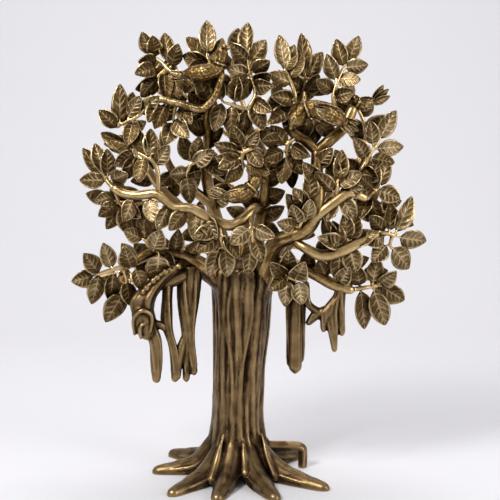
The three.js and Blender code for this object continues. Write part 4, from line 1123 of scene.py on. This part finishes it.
# %% The birds: a tail and a wing are (start, end, width)
BIRDS = {
    "bird_crown_left": dict(
        radii=(3, 5.6, 6.4, 5.6, 3.8, 4.2, 0.9),
        tail=[(-43, -35, 302), (-59, -33, 301), 10],
        wing=[(-25, -43, 306), (-42, -41, 302), 8],
        body=[(-47, -35, 302), (-38, -37, 303), (-30, -38, 303.5), (-23, -38, 306), (-20, -38, 313),
            (-18.5, -38, 320), (-13, -38, 321)]),
    "bird_right": dict(
        radii=(3, 6, 7.4, 6.6, 5.6, 6, 1.2),
        tail=[(63, -41, 270), (78, -37, 262), 11],
        wing=[(45, -51, 280), (66, -47, 270), 11],
        body=[(68, -40, 268), (60, -43, 272), (52, -44, 276), (44, -44, 278), (37, -44, 276),
            (32, -45, 270), (28, -45, 263)]),
    "bird_far_right": dict(
        radii=(2, 4.8, 5.6, 4.4, 3.8, 0.8),
        tail=[(88, -21, 282), (101, -17, 292), 12],
        wing=[(78, -28, 284), (91, -25, 281), 8],
        body=[(90, -20, 284), (85, -22, 282), (81, -23, 281), (77, -24, 282), (74.5, -24, 285),
            (71, -24, 285)]),
    "bird_centre": dict(
        radii=(2.4, 5.8, 6.8, 5, 4.4, 0.8),
        tail=[(-14, -48, 217), (-31, -45, 220), 11],
        wing=[(-2, -56, 222), (-20, -52, 215), 9],
        body=[(-18, -47, 216), (-12, -49, 217), (-5, -50, 219), (1, -49, 223), (5, -48, 228),
            (11, -47, 227)]),
}
PERCHES = {  # the looped twig that a bird sits in
    "bird_crown_left": [(-64, -36, 285), (-48, -39, 281), (-34, -40, 278), (-26, -40, 285),
        (-21, -39, 297), (-20, -38, 306)],
}
print("birds drawn:", list(BIRDS))

# %% Three feathers side by side
FEATHER_ROLL, FEATHER_FOLD = 0.2, 0.1


def add_fan(bm, start, end, width, spread, share):
    """share is the width of one feather in the width of all three."""
    start, end = Vector(start), Vector(end)
    for order in (-1, 0, 1):
        turned = Matrix.Rotation(order * spread, 3, "Y") @ (end - start)
        root = start + Vector((0, -0.5 * order, -0.9 * order))
        shorter = 1 - 0.08 * abs(order)
        add_leaf(bm, root, root + turned * shorter, width * share, -1, FEATHER_ROLL, FEATHER_FOLD)


# %% A bird
BIRD_VOXEL = 0.5
COLLAR = 5 / 8  # how far along the body the collar is
COLLAR_STEPS, COLLAR_RADIUS = 12, 0.9
EYE_RADIUS = 1.2
TAIL_SPREAD, TAIL_SHARE = 0.26, 0.5
WING_SPREAD, WING_SHARE = 0.2, 0.55


def add_collar(bm, spine, girth):
    neck = spine[len(spine) * 5 // 8]
    along = (spine[len(spine) * 5 // 8 + 1] - neck).normalized()
    aside = along.cross(Vector((0, 1, 0))).normalized()
    ring = []
    for step in range(COLLAR_STEPS + 2):  # two steps past a full turn, so that the ring closes
        angle = step * math.pi / (COLLAR_STEPS / 2)
        ring.append(neck + (aside * math.cos(angle) + along.cross(aside) * math.sin(angle)) * girth)
    sweep(bm, ring, [COLLAR_RADIUS, COLLAR_RADIUS], sides=8)


def make_bird(name, body, radii, tail, wing):
    wood, feathers = bmesh.new(), bmesh.new()
    if name in PERCHES:
        sweep(wood, PERCHES[name], [2.4, 2.8, 3, 2.8, 2.4], sides=10)
    spine = sweep(wood, body, radii, sides=16, step=1.0)
    add_collar(wood, spine, reading(radii, COLLAR))
    head, head_radius = Vector(body[-2]), radii[-2]
    add_bead(wood, head + Vector((0, -head_radius * 0.86, head_radius * 0.35)), EYE_RADIUS)
    add_fan(feathers, *tail, TAIL_SPREAD, TAIL_SHARE)
    add_fan(feathers, *wing, WING_SPREAD, WING_SHARE)
    join_casting(name, fused(wood, BIRD_VOXEL, rounds=2), feathers, bird_brass)


for name, bird in BIRDS.items():
    make_bird(name, **bird)
print("birds:", len(BIRDS))

# %% [markdown]
# ## Trunk and roots
# The trunk is a sheaf of strands that rises from the roots, narrows at the waist and opens at the
# top. The strands are swept one by one round a core and fused, so that the furrows between them run
# on into the roots; at the top more strands carry them on into the boughs.

# %% The outline of the trunk
TRUNK_RADIUS = 18.4
TRUNK_X = -9.5
SHAFT = [  # height, what the radius is above TRUNK_RADIUS, and the middle in x
    (0, 8.5, -9.5), (16, 4.2, -9.5), (45, 0.4, -9.5), (83, 0.6, -8.5), (113, 2.2, -6.4),
    (140, 3.2, -6.0), (153, 5.0, -5.2), (158, 2.5, -5.4)]


def shaft(height):
    """The middle in x and the radius of the trunk at a height."""
    for (low, extra0, x0), (high, extra1, x1) in zip(SHAFT, SHAFT[1:]):
        if height <= high:
            t = (height - low) / (high - low)
            return x0 + (x1 - x0) * t, TRUNK_RADIUS + extra0 + (extra1 - extra0) * t
    return SHAFT[-1][2], TRUNK_RADIUS + SHAFT[-1][1]


def on_shaft(angle, height, sunk):
    middle, radius = shaft(height)
    out = radius - sunk
    return Vector((middle + math.cos(angle) * out, math.sin(angle) * out, height))


print("radius at the waist:", round(shaft(45)[1], 1), "mm")

# %% The core and the domed top that the boughs are let into
CORE_LOW, CORE_HIGH = 2, 156
CORE_READINGS = 11
CORE_SUNK = 2  # how far the core lies under the strands


def add_core(wood):
    core = [(shaft(height)[0], 0, height) for height in (CORE_LOW, 20, 45, 83, 113, 140, CORE_HIGH)]
    heights = [CORE_LOW + (CORE_HIGH - CORE_LOW) * s / CORE_READINGS for s in range(CORE_READINGS + 1)]
    sweep(wood, core, [shaft(height)[1] - CORE_SUNK for height in heights], sides=40, step=4, blunt=True)
    sweep(wood, [(-5, 0, 150), (-5, 0, 159), (-5, 0, 167)], [20, 17, 9], sides=24, blunt=True)


# %% Strands round the core
STRANDS = 32
CROSSINGS = [  # strands that lie over their neighbours: angle in degrees and height, from the top
    [(-128, 132), (-122, 113), (-108, 92), (-103, 74), (-102, 52)],
    [(-66, 140), (-72, 118), (-80, 96), (-86, 78), (-88, 52)],
    [(-96, 128), (-93, 108), (-87, 92), (-84, 76)],
    [(-42, 138), (-46, 112), (-40, 84), (-44, 60)],
    [(-160, 130), (-150, 104), (-154, 76), (-146, 50)],
    [(-112, 150), (-118, 128), (-114, 108), (-116, 88)],
]


def strand_line(strand):
    """A strand wanders a little to each side, and dips under or over its neighbours."""
    angle = 2 * math.pi * (strand + 0.3 * math.sin(strand * 4.7)) / STRANDS
    line = []
    for height in range(10, 162, 10):
        wander = 0.07 * math.sin(height / 23 + strand * 2.1)
        sunk = 1.6 + 0.4 * math.sin(strand * 1.9 + height / 27)
        line.append(on_shaft(angle + wander, height, sunk))
    return line


def add_strands(wood):
    for strand in range(STRANDS):
        thick = 2.2 + 0.5 * math.sin(strand * 3.1)
        radii = [thick + 0.8, thick, thick, thick + 0.4, thick + 0.8]
        sweep(wood, strand_line(strand), radii, sides=8, step=2)
    for crossing in CROSSINGS:
        path = [on_shaft(math.radians(angle), height, 0.6) for angle, height in crossing]
        sweep(wood, path, [0.8, 1.7, 1.9, 1.7, 0.8], sides=8, step=2)


# %% Strands that leave the trunk and run on along the bough that springs above them
FLARE_STRANDS = 5
FLARE_TURN = 0.6  # radians between two of them round the bough
FLARE_RINGS = ((126, 0.16, 2.2), (144, 0.13, 1.2))  # height, angle between strands, how far sunk


def add_flare(wood, path, radii):
    first, second = Vector(path[1]), Vector(path[2])
    angle = math.atan2(first.y, first.x - TRUNK_X)
    across = (second - first).cross(Vector((0, 0, 1)))
    across = across.normalized() if across.length > 0.1 else Vector((1, 0, 0))
    front = (second - first).cross(across).normalized()
    for order in range(FLARE_STRANDS):
        place = order - FLARE_STRANDS // 2
        turn = place * FLARE_TURN
        rim = (across * math.sin(turn) + front * math.cos(turn)) * radii[1] * 0.8
        line = [on_shaft(angle - place * apart, height, sunk) for height, apart, sunk in FLARE_RINGS]
        sweep(wood, line + [first + rim, second + rim * 0.8], [1.4, 2.6, 2.4, 0.9], sides=8, step=2)


# %% A root: a broad arm with a ridge on its back, from the trunk out to a round tip on the ground
ROOT_TIPS = [(-74, -4), (-58, -58), (-24, -69), (19, -68), (57, -45), (44, 40), (14, 66), (-30, 69),
             (-64, 42)]
ROOT_START = TRUNK_RADIUS - 8


def add_root(wood, tip_x, tip_y, order):
    reach = math.hypot(tip_x - TRUNK_X, tip_y)
    out = Vector(((tip_x - TRUNK_X) / reach, tip_y / reach, 0))
    across = Vector((-out.y, out.x, 0))

    def along(distance, height, aside=0.0):
        return Vector((TRUNK_X, 0, height)) + out * distance + across * aside

    body = [along(ROOT_START - 3, 54), along(ROOT_START, 36), along(ROOT_START + 8, 20),
            along(reach * 0.48, 6), along(reach * 0.75, 2), along(reach + 1, 0.6)]
    sweep(wood, body, [4, 6, 8, 9, 8.8, 7.8, 6.4, 4.6], sides=16)
    bow = 1.5 * math.sin(order * 2.3)
    ridge = [along(TRUNK_RADIUS - 1.8, 74), along(TRUNK_RADIUS - 1, 54), along(ROOT_START + 9, 31),
             along(reach * 0.46, 13.6, bow), along(reach * 0.72, 8.6, -bow), along(reach - 6, 3.4)]
    sweep(wood, ridge, [1.2, 2.2, 2.4, 2.0, 1.6, 0.8], sides=8)
    for aside in (-1, 1):
        flank = [along(TRUNK_RADIUS - 2.4, 66, 3 * aside), along(TRUNK_RADIUS - 1.6, 42, 4 * aside),
                 along(ROOT_START + 9, 22, 6.6 * aside), along(reach * 0.48, 8.4, 7.6 * aside),
                 along(reach * 0.74, 4.4, 6.2 * aside), along(reach - 7, 2.2, 3 * aside)]
        sweep(wood, flank, [2.4, 2.2, 1.9, 1.6, 0.9], sides=8)


# %% The stepped root at the back, and the smooth webs in the valleys between the front roots
STEPPED_ROOT = [(4, 6, 18), (20, 9, 17), (37, 10, 16.5), (40.5, 10, 15), (41, 10, 12), (41, 10, -2)]
WEBS = [
    [(-20, -18, 34), (-25, -29, 16), (-29, -40, 3)],
    [(-5, -18, 34), (-4, -29, 17), (-3, -38, 7)],
    [(9, -13, 34), (14, -22, 16), (20, -31, 3)],
]


def add_roots(wood):
    for order, (tip_x, tip_y) in enumerate(ROOT_TIPS):
        add_root(wood, tip_x, tip_y, order)
    sweep(wood, STEPPED_ROOT, [5.4, 5, 4.6, 4.2, 4], sides=4, step=1)
    for web in WEBS:
        sweep(wood, web, [0.8, 3, 4], sides=10)


print("roots:", len(ROOT_TIPS) + 1)

# %% [markdown]
# ## Hollowing the trunk
# The real casting is hollow, open underneath and arched between two of its roots. Both shapes are
# swept and cut out after the fusing, and a plane at floor height then trims the feet flat.

# %% Cutting the hollow and the arch, and the flat underneath
ARCH = [(-4, -10, 1.5), (-4, -32, 1.5), (-4, -54, 1.5)]
ARCH_RADIUS = 6.5
HOLLOW = [(TRUNK_X, 0, -6), (TRUNK_X, 0, 50), (TRUNK_X, 0, 100)]
HOLLOW_RADII = (14, 12, 9)


def hollowed(wood):
    arch, hollow = bmesh.new(), bmesh.new()
    sweep(arch, ARCH, [ARCH_RADIUS, ARCH_RADIUS], sides=16, blunt=True)
    sweep(hollow, HOLLOW, HOLLOW_RADII, sides=20, blunt=True)
    return cut_out(wood, arch, hollow)


def standing_flat(wood):
    cut = bmesh.ops.bisect_plane(wood, geom=wood.verts[:] + wood.edges[:] + wood.faces[:], dist=1e-4,
                                 plane_co=(0, 0, 0), plane_no=(0, 0, -1), clear_outer=True)
    rim = [g for g in cut["geom_cut"] if isinstance(g, bmesh.types.BMEdge)]
    bmesh.ops.holes_fill(wood, edges=rim, sides=0)
    return wood


# %% The trunk with everything on it
FLARED_BOUGHS = ("bough_centre", "bough_right_main", "bough_left_low", "bough_upper_left",
                 "bough_right_low", "bough_back_left", "bough_back_right", "bough_back_centre")


def make_trunk():
    wood = bmesh.new()
    add_core(wood)
    add_strands(wood)
    for name in FLARED_BOUGHS:
        add_flare(wood, BOUGHS[name]["path"], BOUGHS[name]["radii"])
    add_roots(wood)
    wood = standing_flat(hollowed(fused(wood, BOUGH_VOXEL, rounds=2)))
    print("faces on the trunk:", len(wood.faces))
    join_casting("trunk_and_roots", wood, None, bark_brass)


make_trunk()

# %% [markdown]
# ## Where the rubbing reached, and painted shade
# A hand with a cloth reaches what stands proud. Rays sent out from each vertex find how shut in it
# is, and a shut-in place is made darker: partly the patina that the cloth leaves there, partly
# painted shade. The bend of the skin there tells an edge from a furrow, and the carving of a leaf
# adds its own relief. The three make the attribute that the finishes read.

# %% Rays in an even spiral over the sky above a vertex
RAYS = 9
REACH = 22 * MM
FAN_SHARE = 0.85  # the rays keep off the horizon, where the skin itself would stop them


def ray_fan():
    fan = []
    for i in range(RAYS):
        z = 1 - (i + 0.5) / RAYS * FAN_SHARE
        angle = i * math.pi * (3 - math.sqrt(5))
        flat = math.sqrt(1 - z * z)
        fan.append(Vector((flat * math.cos(angle), flat * math.sin(angle), z)))
    return fan


def all_skins(pieces):
    """Every casting in one search tree, so that a ray from one is stopped by another."""
    points, faces = [], []
    for piece in pieces:
        first = len(points)
        points.extend(v.co.copy() for v in piece.data.vertices)
        faces.extend([first + i for i in p.vertices] for p in piece.data.polygons)
    return BVHTree.FromPolygons(points, faces)


print("rays from each vertex:", RAYS)

# %% Edges lighter and furrows darker, from how the skin turns: partly wear and patina, partly painted highlight and shade
EDGE_SHARE = 0.9
MOST_EDGE_WEAR_AND_LIGHT = 0.35


def edge_wear_and_light(mesh, normals):
    """For each vertex, above 0 on an edge and below 0 in a furrow."""
    bend = [0.0] * len(mesh.vertices)
    count = [0] * len(mesh.vertices)
    for edge in mesh.edges:
        a, b = edge.vertices
        run = mesh.vertices[b].co - mesh.vertices[a].co
        if run.length > 1e-7:
            turn = (normals[b] - normals[a]).dot(run) / run.length_squared * MM
            for end in (a, b):
                bend[end] += turn
                count[end] += 1
    return [max(-MOST_EDGE_WEAR_AND_LIGHT, min(MOST_EDGE_WEAR_AND_LIGHT, EDGE_SHARE * turned / max(met, 1)))
            for turned, met in zip(bend, count)]


# %% Places made lighter: from, to, radius and how much
ROOT_TOP = (TRUNK_X, 0, 6)
WEAR_AND_LIGHT_PLACES = {
    # Lighter along stretches of the front boughs and forks.
    "branch_front_left": [
        ((-5, -40, 200), (-31, -42, 203), 7, 0.3),
        ((-31, -42, 203), (-92, -33, 220), 7, 0.45)],
    "bough_right_main": [
        ((40, -36, 191), (49, -37, 214), 7, 0.2),
        ((49, -38, 214), (48, -34, 250), 6, 0.3)],
    "branch_fork_left": [((48, -34, 248), (27, -30, 272), 6, 0.3)],
    "branch_fork_right": [((49, -34, 248), (75, -26, 281), 6, 0.3)],
    "trunk_and_roots": [
        # Painted highlight: the two valleys between the front roots are made bare bright metal, standing
        # in for the pale floor's reflection.
        ((-23, -24, 26), (-28, -38, 6), 5, 1.0),
        ((-4, -24, 26), (-3, -38, 8), 5, 1.0),
        # The roots and the foot of the trunk are made lighter, most near the middle of the base.
        ((TRUNK_X, 0, 0), ROOT_TOP, 90, 0.42)],
}


def lighten_along(values, mesh, start, end, radius, amount):
    """Adds to the values of vertices near the line from start to end, most on the line itself."""
    run = end - start
    for i, vert in enumerate(mesh.vertices):
        share = min(max((vert.co - start).dot(run) / run.length_squared, 0), 1)
        off = (vert.co - start - run * share).length / radius
        if off < 1:
            values[i] = min(1, values[i] + amount * (1 - off * off))


print("castings with worn places:", list(WEAR_AND_LIGHT_PLACES))

# %% Store how far each vertex is rubbed, with painted shade in shut-in places
# A vertex that no ray leaves from is darkest and an open one lightest: partly patina, partly painted
# shade.
SHADED_SHUT_IN = -0.02  # a vertex that no ray leaves from
OPEN_SHARE = 0.66
CARVING_LIGHT_AND_SHADE_SHARE = 0.4
CLEAR_OF_SKIN = 0.35 * MM


def rub_and_shade(piece, tree, fan):
    mesh = piece.data
    normals = [v.normal.copy() for v in mesh.vertices]
    relief = mesh.attributes.get("relief")
    wear_and_light_values = edge_wear_and_light(mesh, normals)
    values = []
    for i, vert in enumerate(mesh.vertices):
        toward = Vector((0, 0, 1)).rotation_difference(normals[i])
        start = vert.co + normals[i] * CLEAR_OF_SKIN
        # The share of rays that get out lightens the vertex; where they are stopped it is painted
        # darker, as shade.
        clear = sum(tree.ray_cast(start, toward @ ray, REACH)[0] is None for ray in fan) / RAYS
        # Edges are lighter, partly worn and partly painted highlight; furrows darker, partly patina and
        # partly painted shade.
        wear_and_light, carving_light_and_shade = wear_and_light_values[i], 0.0
        # A leaf's carving takes the place of the edge term: partly rubbing and patina, partly painted
        # highlight and shade.
        if relief and relief.data[i].value != 0:
            wear_and_light, carving_light_and_shade = 0.0, relief.data[i].value - 0.5
        value = SHADED_SHUT_IN + OPEN_SHARE * clear + wear_and_light + CARVING_LIGHT_AND_SHADE_SHARE * carving_light_and_shade
        values.append(min(max(value, 0), 1))
    for start, end, radius, amount in WEAR_AND_LIGHT_PLACES.get(piece.name, ()):
        lighten_along(values, mesh, Vector(start) * MM, Vector(end) * MM, radius * MM, amount)
    mesh.attributes.new("rubbed_and_shaded", "FLOAT", "POINT").data.foreach_set("value", values)
    return values


castings = [o for o in bpy.data.objects if o.get("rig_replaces")]
skins, fan = all_skins(castings), ray_fan()
rubbed_and_shaded = sorted(value for piece in castings for value in rub_and_shade(piece, skins, fan))
shares = (0.05, 0.25, 0.5, 0.75, 0.95)
print("rubbed, from the darkest to the brightest:",
      [round(rubbed_and_shaded[int(share * (len(rubbed_and_shaded) - 1))], 2) for share in shares])
print("castings:", len(castings), "faces:", sum(len(o.data.polygons) for o in castings))
